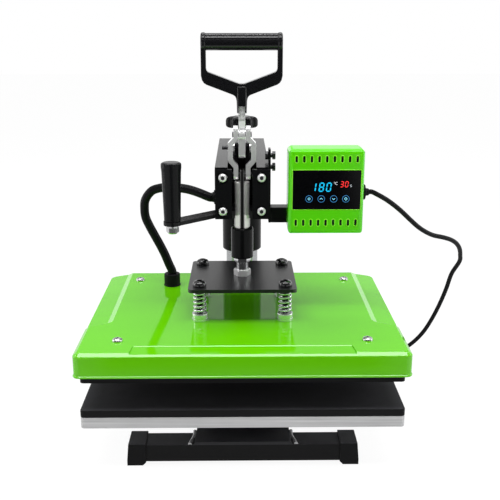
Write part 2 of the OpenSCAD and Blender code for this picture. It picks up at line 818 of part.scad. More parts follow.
module swing_bar() {
  color([0.05, 0.05, 0.055]) head_frame() difference() {
    translate([-swing_x, -swing_y, arm_z - bar_t]) linear_extrude(bar_t) union() {
      rotate(atan2(swing_in[1] + swing_y, swing_in[0] + swing_x)) translate([0, -bar_w / 2])
        square([norm([swing_in[0] + swing_x, swing_in[1] + swing_y]) + bar_w / 2, bar_w]);
      circle(d = bar_w + 2.5);
    }
    translate([-swing_x, -swing_y, arm_z - bar_t - 1]) cylinder(d = m8, h = bar_t + 2);
    swing_screw_places() translate([0, 0, arm_z - bar_t - 1]) cylinder(d = m6, h = bar_t + 2);
  }
}

module swing_bar_screws() {
  color([0.55, 0.55, 0.57]) head_frame() swing_screw_places() {
    translate([0, 0, arm_z - bar_t]) mirror([0, 0, 1]) pan_head(11, 3.6);
    translate([0, 0, arm_z - bar_t]) cylinder(d = m6, h = bar_t + arm_wall + 2);
  }
}

module swing_grip() {
  top_d = 25.4;
  foot_dia = 20.7;
  edge = 2;
  color([0.05, 0.05, 0.055]) head_frame() translate([-swing_x, -swing_y, arm_z]) difference() {
    rotate_extrude() polygon([[0, 0], [foot_dia / 2 - 1, 0], [foot_dia / 2, 1],
      [top_d / 2 - 0.6, swing_len - 9], [top_d / 2, swing_len - 6], [top_d / 2, swing_len - edge],
      [top_d / 2 - edge, swing_len], [0, swing_len]]);
    translate([0, 0, -1]) cylinder(d = m8, h = swing_len / 2 + 1);
  }
}

module swing_grip_bolt() {
  color([0.75, 0.75, 0.76]) head_frame() translate([-swing_x, -swing_y, arm_z - bar_t]) {
    cylinder(d = m8, h = bar_t + swing_len / 2);
    translate([0, 0, -3]) cylinder(d = 15, h = 3);
    translate([0, 0, -11]) intersection() {
      hex_bar(14, 8);
      rotate_extrude() polygon([[0, 0], [5, 0], [8, 2.5], [8.2, 8], [0, 8]]);
    }
  }
}

module arm_hose_gland() {
  color([0.06, 0.06, 0.065]) head_frame() translate([-arm_w / 2, arm_gland[0], arm_gland[1]])
    rotate([0, -90, 0]) {
      hex_bar(17, arm_gland_len - 2);
      cylinder(d = 14, h = arm_gland_len);
      translate([0, 0, -arm_wall - 4]) cylinder(d = 12, h = arm_wall + 4);
    }
}

// Pivot block and pressure screw

// A cheek of the pivot block, seen from the side
module cheek_outline() {
  y0 = pivot_y - cheek_r;
  translate([pivot_y, pivot_z]) circle(r = cheek_r);
  polygon([[y0, arm_top + gap], [block_back, arm_top + gap], [block_back, arm_top + 16],
           [pivot_y + 16, arm_top + 16], [pivot_y + cheek_r - 1, pivot_z + 2], [y0, pivot_z]]);
}

// The two cheeks stand between the links, behind their bulge, on a stem that slides in the arm
module pivot_block() {
  lug_y = pivot_y + 13;
  stem_w = opening_w - 4 * run;
  color([0.12, 0.12, 0.13]) head_frame() difference() {
    union() {
      both_sides() plate_x(cheek_x, cheek_x + cheek_t) cheek_outline();
      translate([-stem_w / 2, lug_y, arm_z + 20]) cube([stem_w, block_back - lug_y, arm_h - 4]);
    }
    rod_x([pivot_y, pivot_z], pivot_d, -arm_w, arm_w);
    translate([0, screw_y, arm_z]) cylinder(d = screw_d + 2 * run, h = arm_h + 40);
  }
}

module pivot_bolt() {
  end_x = cheek_x + cheek_t + pivot_nut_t;
  stud = 12;
  color([0.3, 0.3, 0.31]) head_frame() {
    rod_x([pivot_y, pivot_z], pivot_d, -end_x - 0.8, end_x + 0.8);
    rod_x([pivot_y, pivot_z], m5, -end_x - stud, 0);
  }
}

module pivot_spacers() {
  color([0.75, 0.75, 0.76]) head_frame() both_sides()
    translate([cheek_x + cheek_t, pivot_y, pivot_z]) rotate([0, 90, 0]) difference() {
      hex_bar(11, pivot_nut_t);
      translate([0, 0, -1]) cylinder(d = pivot_d, h = pivot_nut_t + 2);
    }
}

module pressure_screw() {
  foot_z = arm_z + arm_wall + gap;
  color([0.7, 0.7, 0.71]) head_frame() translate([0, screw_y, foot_z]) {
    cylinder(d = screw_d, h = knob_z + knob_bore - foot_z);
    cylinder(d = screw_d + 6, h = 6);
    translate([0, 0, knob_z - foot_z - 6]) cylinder(d = screw_d + 5, h = 6);
  }
}

module pressure_knob() {
  lobes = 6;
  turn = 360 / lobes;
  lobe_r = 7;
  waist = knob_d / 2 - 4;
  color([0.05, 0.05, 0.055]) head_frame() translate([0, screw_y, knob_z]) difference() {
    intersection() {
      linear_extrude(knob_h) difference() {
        union() {
          circle(r = waist);
          for (k = [0 : lobes - 1]) rotate(k * turn) translate([knob_d / 2 - lobe_r, 0]) circle(r = lobe_r);
        }
        for (k = [0 : lobes - 1]) rotate((k + 0.5) * turn) translate([knob_d / 2 + 3, 0]) circle(r = 6);
      }
      rotate_extrude() polygon([[0, 0], [knob_d / 2 - 3, 0], [knob_d / 2, 3], [knob_d / 2, knob_h - 5],
        [knob_d / 2 - 4, knob_h - 1], [knob_d / 2 - 9, knob_h], [0, knob_h]]);
    }
    translate([0, 0, -1]) cylinder(d = screw_d, h = knob_bore + 1);
  }
}

// Lever and links

module lever() {
  color([0.78, 0.78, 0.79]) head_frame() difference() {
    plate_x(-lever_t / 2, lever_t / 2) union() {
      translate([pivot_y, pivot_z]) circle(r = 10);
      bar_2d([pivot_y, pivot_z], pin_b, 15);
      bar_2d(pin_b, [pivot_y - 13, pivot_z - 5], 12);
      bar_2d([pivot_y, pivot_z], [hand_y, stem_z - 7], lever_bar_w + 1);
      translate([hand_y - lever_bar_w / 2, stem_z - 7]) square([lever_bar_w, lever_end - stem_z + 7]);
    }
    rod_x([pivot_y, pivot_z], pivot_d + 2 * run, -arm_w, arm_w);
    rod_x(pin_b, pin_d, -arm_w, arm_w);
    for (z = handle_screw_z) rod_x([hand_y, z], m5, -arm_w, arm_w);
  }
}

// Front outline of the handle's frame, on the right side
module handle_outline() {
  x1 = handle_w / 2;
  post_w = 6.5;
  polygon([[0, stem_z], [stem_half, stem_z], [stem_half + 1, stem_top - 11.5], [stem_half + 2.3, stem_top - 9.3],
           [stem_half + 4.7, stem_top - 7.7], [x1 - 6.6, stem_top + 4.7], [x1 - 2, stem_top + 8.6],
           [x1, stem_top + 15], [x1, bar_z + 4], [x1 - 3, handle_top - 2], [x1 - post_w, handle_top - 2],
           [x1 - post_w, stem_top + 23], [x1 - post_w - 1.2, stem_top + 20.6], [4.5, stem_top + 6.4],
           [0, stem_top + 4.4]]);
}

module lever_handle() {
  frame_t = 15;
  color([0.04, 0.04, 0.045]) head_frame() difference() {
    union() {
      both_sides() translate([0, hand_y + frame_t / 2, 0]) rotate([90, 0, 0])
        linear_extrude(frame_t) handle_outline();
      rod_x([hand_y, bar_z], grip_d, -handle_w / 2 + 3, handle_w / 2 - 3);
      translate([-stem_half, hand_y - 9.5, stem_z]) cube([2 * stem_half, 19, stem_top - stem_z - 11]);
    }
    // the stem is a fork at its foot, open to the front
    translate([-lever_t / 2, hand_y - 10, stem_z - 1]) cube([lever_t, 10, stem_fork + 1]);
    translate([-lever_t / 2, hand_y - lever_bar_w / 2, stem_z - 1])
      cube([lever_t, lever_bar_w, lever_end - stem_z + 1]);
    for (z = handle_screw_z) rod_x([hand_y, z], m5, -handle_w, handle_w);
  }
}

module handle_screws() {
  color([0.3, 0.3, 0.31]) head_frame() for (z = handle_screw_z)
    rod_x([hand_y, z], m5, -stem_half, stem_half);
}

module upper_pin() {
  head_x = link_x + link_t / 2 + gap;
  color([0.3, 0.3, 0.31]) head_frame() {
    rod_x(pin_b, pin_d, -head_x, head_x);
    both_sides() rod_x(pin_b, pin_d + 1, head_x, head_x + 1.2);
  }
}

module links() {
  color([0.8, 0.8, 0.81]) head_frame() both_sides() difference() {
    intersection() {
      translate([0, arm_w / 2, 0]) rotate([90, 0, 0]) linear_extrude(arm_w)
        polygon(concat(beside(link_line, link_t / 2), back_to_front(beside(link_line, -link_t / 2))));
      plate_x(0, arm_w) bar_2d(pin_b + [0, 4.3], pin_c, link_w);
    }
    rod_x(pin_b, pin_d + 2 * run, -arm_w, arm_w);
    rod_x(pin_c, pin_d, -arm_w, arm_w);
  }
}

module lower_pin() {
  end_x = link_x + link_t / 2 + 1.2;
  color([0.3, 0.3, 0.31]) head_frame() rod_x(pin_c, pin_d, -end_x, end_x);
}

// Ram

module ram_shaft() {
  // the lower pin swings a little to and fro, so its hole in the tang is a slot
  slot_half = slot_y + pin_d / 2 + 0.4;
  slot_low = pin_d / 2 + 0.6;
  slot_high = pin_d / 2 + 1.5;
  foot_z = barrel_top - ram_socket;
  color([0.8, 0.8, 0.81]) head_frame() difference() {
    union() {
      translate([0, 0, foot_z]) cylinder(d = ram_d, h = ram_top - foot_z);
      intersection() {
        translate([0, 0, ram_top - 1]) cylinder(d = ram_d, h = tang_top - ram_top + 1);
        translate([-tang_t / 2, -ram_d, ram_top - 1]) cube([tang_t, 2 * ram_d, tang_top - ram_top + 1]);
      }
    }
    translate([-ram_d, -slot_half, pin_c[1] - slot_low])
      cube([2 * ram_d, 2 * slot_half, slot_low + slot_high]);
  }
}

module ram_barrel() {
  edge = 1.2;
  color([0.05, 0.05, 0.055]) head_frame() translate([0, 0, barrel_z]) difference() {
    rotate_extrude() polygon([[0, 0], [barrel_d / 2 - edge, 0], [barrel_d / 2, edge],
      [barrel_d / 2, barrel_len - edge], [barrel_d / 2 - edge, barrel_len], [0, barrel_len]]);
    translate([0, 0, barrel_len - ram_socket]) cylinder(d = ram_d, h = ram_socket + 1);
    translate([0, 0, -1]) cylinder(d = ram_stud_d, h = ram_socket + 1);
  }
}

module ram_stud() {
  color([0.78, 0.78, 0.79]) head_frame() translate([0, 0, plate_z]) {
    cylinder(d = ram_stud_d, h = barrel_z - plate_z + ram_socket);
    translate([0, 0, barrel_z - plate_z - flange_h]) intersection() {
      hex_bar(nut_w, flange_h);
      rotate_extrude() polygon([[0, 0], [nut_w / 2 - 0.5, 0], [nut_corner, 1.5], [nut_corner, flange_h],
        [0, flange_h]]);
    }
  }
}

module lock_nut() {
  color([0.78, 0.78, 0.79]) head_frame() translate([0, 0, plate_top]) difference() {
    intersection() {
      hex_bar(nut_w, nut_h);
      rotate_extrude() polygon([[0, 0], [nut_corner, 0], [nut_corner, nut_h - 1.5], [nut_w / 2 - 0.5, nut_h],
        [0, nut_h]]);
    }
    translate([0, 0, -1]) cylinder(d = ram_stud_d, h = nut_h + 2);
  }
}

module spring_plate() {
  color([0.05, 0.05, 0.055]) head_frame() translate([0, 0, plate_z]) difference() {
    rounded_slab(spring_plate_w, spring_plate_d, spring_plate_t, 6);
    four(stud_x, stud_y) translate([0, 0, -1]) cylinder(d = stud_d + 0.8, h = spring_plate_t + 2);
    translate([0, 0, -1]) cylinder(d = ram_stud_d, h = spring_plate_t + 2);
  }
}

// Heat platen

module heat_platen() {
  color([0.13, 0.13, 0.14]) head_frame() difference() {
    translate([0, 0, heat_z]) rounded_slab(platen_w, platen_d, heat_t, platen_corner);
    element_shape();
    four(stud_x, stud_y) translate([0, 0, heat_top - stud_in]) cylinder(d = stud_d, h = stud_in + 1);
  }
}

// Sheathed rod bent to and fro along the casting's top
module element_shape() {
  rows = [-1.5, -0.5, 0.5, 1.5];
  for (i = [0 : 3]) {
    rod_x([rows[i] * element_pitch, heat_top], element_d, -element_len / 2, element_len / 2);
    side = i % 2 == 0 ? 1 : -1;
    if (i < 3) translate([side * element_len / 2, (rows[i] + 0.5) * element_pitch, heat_top])
      rotate(-90 * side) rotate_extrude(angle = 180) translate([element_pitch / 2, 0]) circle(d = element_d);
  }
}

module heating_element() {
  color([0.5, 0.42, 0.36]) head_frame() element_shape();
}

module insulation() {
  fleece_t = 9;
  color([0.9, 0.9, 0.86]) head_frame() difference() {
    translate([0, 0, heat_top]) rounded_slab(2 * standoff[0] - 24, platen_d - 40, fleece_t, platen_corner);
    element_shape();
    four(stud_x, stud_y) translate([0, 0, heat_top - 1]) cylinder(d = stud_d + 3, h = fleece_t + 2);
  }
}

module cover_standoffs() {
  color([0.6, 0.6, 0.62]) head_frame() four(standoff[0], standoff[1]) difference() {
    translate([0, 0, heat_top]) hex_bar(10, standoff_h);
    translate([0, 0, cover_top - cover_screw_l]) cylinder(d = m4, h = cover_screw_l);
  }
}

// Cross-section of the cover, with both top edges cut
module chamfered(half, base, top) {
  polygon([[-half, base], [half, base], [half, top - chamfer_h], [half - chamfer_w, top],
           [chamfer_w - half, top], [-half, top - chamfer_h]]);
}

// The cover's outer form, drawn in by an inset on the sides and top
module cover_form(inset) {
  w = cover_w - 2 * inset;
  d = cover_d - 2 * inset;
  top = cover_top - inset;
  base = cover_z - (inset > 0 ? 1 : 0);
  head_frame() difference() {
    intersection() {
      translate([0, 0, base]) rounded_slab(w, d, top - base, cover_corner);
      translate([0, d / 2, 0]) rotate([90, 0, 0]) linear_extrude(d) chamfered(w / 2, base, top);
      plate_x(-w / 2, w / 2) chamfered(d / 2, base, top);
    }
    both_sides() side_step(inset);
    // shallow bevel along the front edge
    plate_x(-bevel_w / 2 - inset, bevel_w / 2 + inset)
      polygon([[bevel_d - d / 2, top + 1], [bevel_d - d / 2, top], [-d / 2 - 2, top - bevel_drop],
               [-d / 2 - 2, top + 1]]);
  }
}

// Lowered band along the right side, from a slanted end wall to the back
module side_step(inset) {
  x0 = cover_w / 2 - step_inset - inset;
  x1 = cover_w / 2 - inset;
  top = cover_top - inset;
  difference() {
    translate([0, cover_d, 0]) rotate([90, 0, 0]) linear_extrude(2 * cover_d)
      polygon([[x0, top], [x0 + step_run, top - step_drop], [x1, top - step_drop - shelf_drop],
               [x1 + 4, top - step_drop - shelf_drop], [x1 + 4, top + 1], [x0, top + 1]]);
    translate([x0, step_y - cover_d / 2 - inset, cover_z - 1]) rotate(-atan2(step_slant, step_inset))
      translate([-step_inset, -step_y, 0]) cube([3 * step_inset, step_y, cover_h + 4]);
  }
}

module platen_cover() {
  lip_h = 2.6;
  color([0.36, 0.85, 0.05]) difference() {
    union() {
      cover_form(0);
      head_frame() translate([0, 0, cover_z])
        rounded_slab(cover_w + 2 * lip, cover_d + 2 * lip, lip_h, cover_corner + lip);
    }
    cover_form(cover_wall);
    head_frame() {
      four(standoff[0], standoff[1]) translate([0, 0, cover_z]) cylinder(d = m4, h = cover_h + 1);
      four(stud_x, stud_y) translate([0, 0, cover_z]) cylinder(d = stud_d, h = cover_h + 1);
      translate([hose_gland[0], hose_gland[1], cover_z]) cylinder(d = 14, h = cover_h + 1);
    }
  }
}

module cover_screws() {
  color([0.75, 0.75, 0.76]) head_frame() four(standoff[0], standoff[1]) translate([0, 0, cover_top]) {
    pan_head(12.5, 4);
    translate([0, 0, -cover_screw_l]) cylinder(d = m4, h = cover_screw_l + 1);
  }
}

module studs() {
  color([0.05, 0.05, 0.055]) head_frame() four(stud_x, stud_y) {
    translate([0, 0, plate_top + 2 * run]) pan_head(stud_d + 9, 7);
    translate([0, 0, heat_top - stud_in]) cylinder(d = stud_d, h = plate_top + 2 * run - heat_top + stud_in + 1);
  }
}

module stud_collars() {
  outer = spring_d / 2 + 1.5;
  color([0.78, 0.78, 0.79]) head_frame() four(stud_x, stud_y) translate([0, 0, cover_top])
    rotate_extrude() polygon([[stud_d / 2, 0], [outer, 0], [outer, collar_h - 1], [outer - 1, collar_h],
      [stud_d / 2, collar_h]]);
}

// Closed end turns, open turns between them
spring_room = spring_len - 2 * gap - wire_d;
end_pitch = wire_d + 0.5;
open_pitch = (spring_room - 2 * end_pitch) / (spring_turns - 2);
function spring_z(t) = t < 1 ? end_pitch * t
  : t < spring_turns - 1 ? end_pitch + open_pitch * (t - 1)
  : spring_room - end_pitch * (spring_turns - t);
spring_path = [for (i = [0 : spring_turns * 8])
  let (t = i / 8, r = (spring_d - wire_d) / 2)
  [r * cos(360 * t), r * sin(360 * t), collar_top + gap + wire_d / 2 + spring_z(t)]];

module springs() {
  color([0.75, 0.76, 0.77]) head_frame() four(stud_x, stud_y) tube_along(spring_path, wire_d, 6, [0, 0, 1]);
}

module cover_hose_gland() {
  color([0.06, 0.06, 0.065]) head_frame() translate([hose_gland[0], hose_gland[1], cover_top]) {
    rotate_extrude() polygon([[0, 0], [hose_gland_d / 2 + 0.7, 0], [hose_gland_d / 2 + 0.7, 1.2],
      [hose_gland_d / 2, 2.6], [hose_gland_d / 2, hose_gland_h - 0.8], [hose_gland_d / 2 - 0.8, hose_gland_h],
      [0, hose_gland_h]]);
    translate([0, 0, -cover_wall - 4]) cylinder(d = 14, h = cover_wall + 4);
  }
}

hose_path = smooth_between(hose_route, 2);

module hose() {
  color([0.07, 0.07, 0.075]) tube_along(hose_path, hose_d, 12, [0, 1, 0]);
}

// Mains cord

module cord_gland() {
  root = box_x + box_w;
  color([0.06, 0.06, 0.065]) head_frame() translate([root, gland_y, gland_z]) rotate([0, 90, 0]) {
    cylinder(d = 19.5, h = 3.5);
    translate([0, 0, 3.5]) cylinder(d1 = cord_d + 4.4, d2 = cord_d + 1.4, h = boot_len);
    translate([0, 0, -box_wall - 5]) cylinder(d = 12, h = box_wall + 5);
  }
}

cord_path = smooth_between(cord_route, 2);

module cord() {
  color([0.05, 0.05, 0.055]) tube_along(cord_path, cord_d, 8, [0, 1, 0]);
}

// Coil: a layer that winds inwards, a half turn that climbs, and a layer that winds outwards
coil_end_t = 2 * coil_turns + 0.5;
function coil_radius(t) = t < coil_turns ? coil_r - coil_pitch * t
  : t < coil_turns + 0.5 ? coil_r - coil_pitch * coil_turns - 2.4 * sin(360 * (t - coil_turns))
  : coil_r - coil_pitch * (coil_end_t - t);
function coil_height(t) = t < coil_turns ? 0
  : t < coil_turns + 0.5 ? coil_pitch * (1 - cos(360 * (t - coil_turns))) / 2
  : coil_pitch;
coil_top = coil_z + coil_pitch;
coil_path = concat(
  [cord_route[len(cord_route) - 1]],
  [for (i = [0 : coil_end_t * 24])
    let (t = i / 24, a = 90 + 360 * t)
    [coil_c[0] + coil_radius(t) * cos(a), coil_c[1] + coil_radius(t) * sin(a), coil_z + coil_height(t)]],
  [[plug_x, coil_c[1] - coil_r, coil_top]]);

module cord_coil() {
  color([0.05, 0.05, 0.055]) tube_along(coil_path, cord_d, 6, [0, 0, 1]);
}

// Band round all strands at the coil's right side
module coil_tie() {
  room = 0.35;
  r1 = coil_r - 0.75 * coil_pitch + cord_r + room;
  r0 = coil_r - (coil_turns - 0.25) * coil_pitch - cord_r - room;
  z0 = tie_t + 0.05;
  z1 = coil_top + cord_r + 0.15;
  band = 6;
  color([0.08, 0.08, 0.085]) translate([coil_c[0], coil_c[1] - band / 2, 0]) difference() {
    translate([r0 - tie_t, 0, z0 - tie_t]) cube([r1 - r0 + 2 * tie_t, band, z1 - z0 + 2 * tie_t]);
    translate([r0, -1, z0]) cube([r1 - r0, band + 2, z1 - z0]);
  }
}

// Moulded plug that lies on the table, with two blades and an earth pin
module cord_plug() {
  body_h = 2 * coil_top - 0.2;
  body_w = 28;
  body_l = 26;
  neck_l = 14;
  color([0.06, 0.06, 0.065]) translate([plug_x, coil_c[1] - coil_r, coil_top]) {
    rotate([0, 90, 0]) cylinder(d1 = cord_d + 1.4, d2 = plug_neck_d, h = neck_l);
    translate([neck_l, 0, 0]) rotate([0, 90, 0]) rounded_slab(body_h, body_w, body_l, 5);
    for (s = [-1, 1]) translate([neck_l + body_l, s * 6.35 - 0.75, -1]) cube([17, 1.5, 6.3]);
    translate([neck_l + body_l, 0, -6]) rotate([0, 90, 0]) cylinder(d = 4.8, h = 19);
  }
}

echo(coil_self_gap = self_gap(coil_path, cord_d, 12));
echo(spring_self_gap = self_gap(spring_path, wire_d, 5));
echo(cord_length = path_length(cord_path) + path_length(coil_path), hose_length = path_length(hose_path));

base_frame();
foot_caps();
platen_pedestal();
pedestal_bolts();
lower_platen();
silicone_pad();
post();
post_flange();
flange_bolts();
pivot_sleeve();
thrust_washer();
arm();
front_plates();
front_plate_screws();
ram_guide();
box_bracket();
bracket_bolts();
box_tube();
box_shell();
box_back();
box_screws();
display_panel();
control_board();
swing_bar();
swing_bar_screws();
swing_grip();
swing_grip_bolt();
arm_hose_gland();
pivot_block();
pivot_bolt();
pivot_spacers();
pressure_screw();
pressure_knob();
lever();
lever_handle();
handle_screws();
upper_pin();
links();
lower_pin();
ram_shaft();
ram_barrel();
ram_stud();
lock_nut();
spring_plate();
heat_platen();
heating_element();
insulation();
cover_standoffs();
platen_cover();
cover_screws();
studs();
stud_collars();
springs();
cover_hose_gland();
hose();
cord_gland();
cord();
cord_coil();
coil_tie();
cord_plug();
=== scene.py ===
"""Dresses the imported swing-away heat press: enamel, metal, springs, hose and cord, and a plain studio."""

import json
import math

import bpy
from bpy.props import FloatProperty, FloatVectorProperty, IntProperty, PointerProperty
from mathutils import Matrix, Vector


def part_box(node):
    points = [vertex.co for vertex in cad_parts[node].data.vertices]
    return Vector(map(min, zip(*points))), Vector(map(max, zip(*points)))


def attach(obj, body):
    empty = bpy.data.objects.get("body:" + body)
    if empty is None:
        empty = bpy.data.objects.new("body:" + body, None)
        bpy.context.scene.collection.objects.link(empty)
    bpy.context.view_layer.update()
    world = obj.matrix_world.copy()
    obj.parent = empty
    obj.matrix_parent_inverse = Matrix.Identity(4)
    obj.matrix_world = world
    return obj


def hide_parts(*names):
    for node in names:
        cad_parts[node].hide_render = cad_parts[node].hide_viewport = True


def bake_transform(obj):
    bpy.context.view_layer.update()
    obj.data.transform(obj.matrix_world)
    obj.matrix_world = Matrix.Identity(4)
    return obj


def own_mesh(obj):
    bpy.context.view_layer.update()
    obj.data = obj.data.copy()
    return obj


bl_info = {
    "name": "Heat Press Looks",
    "version": (1, 0, 0),
    "blender": (4, 5, 0),
    "location": "3D View > Sidebar > Press",
    "description": "Dresses the packed heat press and sets up its studio",
    "category": "Object",
}

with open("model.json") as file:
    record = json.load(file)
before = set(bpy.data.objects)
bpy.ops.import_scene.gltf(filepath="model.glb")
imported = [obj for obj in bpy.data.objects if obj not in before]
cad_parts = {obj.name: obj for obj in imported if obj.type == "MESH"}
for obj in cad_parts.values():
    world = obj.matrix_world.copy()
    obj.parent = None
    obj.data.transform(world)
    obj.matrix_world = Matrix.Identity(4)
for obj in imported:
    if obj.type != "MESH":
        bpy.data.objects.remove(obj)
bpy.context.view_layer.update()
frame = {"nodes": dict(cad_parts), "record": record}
MM = 0.001
BODY = {n: b for b, nodes in frame["record"]["behaviour"]["bodies"].items() for n in nodes}
SLOT = {s["node"]: s["material_slot"] for s in frame["record"]["subparts"]}
FINISH = {}


# Sizes and colours

COLOUR = {"subtype": "COLOR", "size": 3, "min": 0, "max": 1}


class PressColours(bpy.types.PropertyGroup):
    """Paints, plastics and lit signs."""

    green: FloatVectorProperty(
        name="Cover green", description="Enamel of the platen cover",
        default=(0.150, 0.660, 0.001), **COLOUR)
    box_green: FloatVectorProperty(
        name="Box green", description="Paint of the control box",
        default=(0.115, 0.780, 0.001), **COLOUR)
    black: FloatVectorProperty(
        name="Gloss black", description="Enamel of arm, sleeve and bracket",
        default=(0.006, 0.006, 0.007), **COLOUR)
    frame_black: FloatVectorProperty(
        name="Frame black", description="Powder coat of the base",
        default=(0.005, 0.005, 0.0055), **COLOUR)
    digits: FloatVectorProperty(
        name="Temperature digits", description="Light of the large digits",
        default=(0.0, 0.60, 1.0), **COLOUR)
    timer: FloatVectorProperty(
        name="Timer digits", description="Light of the small digits",
        default=(1.0, 0.03, 0.03), **COLOUR)


class PressSizes(bpy.types.PropertyGroup):
    """Sizes of pieces that the frame leaves open."""

    cord: FloatProperty(
        name="Cord diameter", description="Outside diameter of the mains cord", subtype="DISTANCE",
        min=0.005, max=0.008, default=0.0063)
    hose: FloatProperty(
        name="Hose diameter", description="Outside diameter of the wiring hose", subtype="DISTANCE",
        min=0.009, max=0.014, default=0.0123)
    wire: FloatProperty(
        name="Spring wire", description="Diameter of the spring wire", subtype="DISTANCE",
        min=0.002, max=0.0034, default=0.003)
    spring_turns: FloatProperty(
        name="Spring turns", description="Turns in each spring", min=4, max=7, default=5.5)
    lobes: IntProperty(
        name="Knob lobes", description="Lobes round the pressure knob", min=4, max=9, default=6)


def colours():
    return bpy.context.scene.press_colours


def sizes():
    return bpy.context.scene.press_sizes


# Materials

class Value:
    """A socket of a material, so that shader sums read as sums."""

    def __init__(self, finish, socket):
        self.finish = finish
        self.socket = socket

    def _sum(self, operation, a, b):
        return self.finish.node("ShaderNodeMath", {"operation": operation}, {0: a, 1: b})

    def __add__(self, other):
        return self._sum("ADD", self, other)

    def __sub__(self, other):
        return self._sum("SUBTRACT", self, other)

    def __rsub__(self, other):
        return self._sum("SUBTRACT", other, self)

    def __mul__(self, other):
        return self._sum("MULTIPLY", self, other)

    __radd__ = __add__
    __rmul__ = __mul__

    def at_most(self, other):
        return self._sum("MINIMUM", self, other)

    def at_least(self, other):
        return self._sum("MAXIMUM", self, other)

    def clamped(self):
        return self.at_least(0).at_most(1)

    def absolute(self):
        return self._sum("ABSOLUTE", self, 0)


class Nodes:
    """A node tree, with short ways to add to it."""

    def __init__(self, owner):
        owner.use_nodes = True
        self.tree = owner.node_tree

    def node(self, kind, settings=None, sockets=None, out=0):
        made = self.tree.nodes.new(kind)
        for key, value in (settings or {}).items():
            setattr(made, key, value)
        for key, value in (sockets or {}).items():
            self.feed(made.inputs[key], value)
        return Value(self, made.outputs[out])

    def feed(self, socket, value):
        if isinstance(value, Value):
            self.tree.links.new(value.socket, socket)
        else:
            socket.default_value = value

    def spot(self, axis, kind="Object"):
        """One coordinate of the shaded point."""
        return self.node("ShaderNodeSeparateXYZ", None, {0: self.node("ShaderNodeTexCoord", out=kind)}, axis)

    def ray(self, kind):
        """One for rays of a kind, nought for others."""
        return self.node("ShaderNodeLightPath", out="Is %s Ray" % kind)


class Finish(Nodes):
    """A material, with the textures that its paints share."""

    def __init__(self, name, **fixed):
        self.material = bpy.data.materials.new(name)
        super().__init__(self.material)
        self.shader = self.tree.nodes["Principled BSDF"]
        for key, value in fixed.items():
            self.shader.inputs[key.replace("_", " ")].default_value = value

    def to(self, name, value):
        self.feed(self.shader.inputs[name], value)

    def noise(self, scale, detail=3, rough=0.5, stretch=(1, 1, 1)):
        spot = self.node("ShaderNodeTexCoord", out="Object")
        place = self.node("ShaderNodeMapping", None, {"Vector": spot, "Scale": stretch})
        return self.node("ShaderNodeTexNoise", None, {
            "Vector": place, "Scale": scale, "Detail": detail, "Roughness": rough}, "Fac")

    def mix(self, share, *tones):
        a, b = ((*t, 1) if isinstance(t, tuple) else t for t in tones)
        return self.node("ShaderNodeMix", {"data_type": "RGBA"}, {0: share, 6: a, 7: b}, 2)

    def above(self, height):
        """One above a height on the piece, nought below it."""
        return ((self.spot("Z") - height) * 4000).clamped()

    def bump(self, height, strength, depth):
        self.to("Normal", self.node("ShaderNodeBump", None, {
            "Height": height, "Strength": strength, "Distance": depth}))


def shade(colour, factor):
    return tuple(min(1.0, c * factor) for c in colour)


def enamel(name, colour, rough, coat, gloss=0.5):
    """Sprayed gloss paint with a soft orange peel and fine dust."""
    f = Finish(name, Coat_Roughness=0.03, IOR=1.5, Specular_IOR_Level=gloss)
    cloud = f.noise(9, 2)
    speck = f.noise(900, 1)
    f.to("Base Color", f.mix(cloud, shade(colour, 0.95), shade(colour, 1.05)))
    f.to("Roughness", rough + 0.03 * speck + 0.02 * cloud)
    f.to("Coat Weight", coat * (1.05 - 0.1 * speck))
    f.bump(f.noise(260, 2), 0.05, 0.0001)
    return f.material


def powder(name, colour, rough, grain, depth, gloss=0.5, coat=0.0, painted_top_light_height=None):
    """Satin powder coat or moulded plastic with a fine grain, with painted light: paler above a given height,
    so that the tops read lit.
    """
    f = Finish(name, IOR=1.45, Specular_IOR_Level=gloss, Coat_Weight=coat, Coat_Roughness=0.22)
    cloud = f.noise(14, 3)
    pebble = f.noise(grain, 2, 0.6)
    tone = f.mix(cloud * 0.7 + 0.3 * pebble, shade(colour, 0.8), shade(colour, 1.3))
    # painted light: above the height the colour is made seven times paler
    if painted_top_light_height:
        tone = f.mix(f.above(painted_top_light_height), tone, shade(colour, 7))
    f.to("Base Color", tone)
    f.to("Roughness", rough + 0.12 * pebble - 0.05 * cloud)
    f.bump(pebble, 0.25, depth)
    return f.material


def plated(name, colour, rough, smudge, metal=1.0):
    """Bright plate with faint wipe marks."""
    f = Finish(name, Metallic=metal)
    wipe = f.noise(45, 4, 0.6)
    fine = f.noise(700, 2)
    f.to("Base Color", f.mix(wipe, shade(colour, 0.9), shade(colour, 1.06)))
    f.to("Roughness", rough + smudge * wipe + 0.03 * fine)
    return f.material


def polished(name):
    """Hard-chromed rod with painted reflections in bands along its length: painted darker fore and aft,
    painted paler at the flanks.
    """
    f = Finish(name)
    across = f.spot("X").absolute()
    wipe = f.noise(60, 3, 0.6, (1, 1, 0.1))
    # painted reflection: the rod's front and back are painted dark, its flanks pale
    dark = ((0.0038 - across) * 550).clamped()
    painted_flank_highlight = ((across - 0.0082) * 900).clamped()
    f.to("Base Color", f.mix(dark.at_least(0.75 * painted_flank_highlight), (0.92, 0.91, 0.89), (0.05, 0.05, 0.05)))
    f.to("Metallic", 0.35 + 0.5 * dark)
    f.to("Roughness", 0.08 + 0.08 * wipe)
    return f.material


def brushed(name, colour, rough, stretch, depth, metal=1.0, contrast=(0.78, 1.12)):
    """Metal with a lay of fine strokes along the least stretched axis."""
    f = Finish(name, Metallic=metal)
    stroke = f.noise(1.0, 3, 0.65, stretch)
    cloud = f.noise(12, 2)
    f.to("Base Color", f.mix(stroke * 0.7 + 0.3 * cloud, *(shade(colour, c) for c in contrast)))
    f.to("Roughness", rough + 0.22 * stroke)
    f.bump(stroke, 0.3, depth)
    return f.material


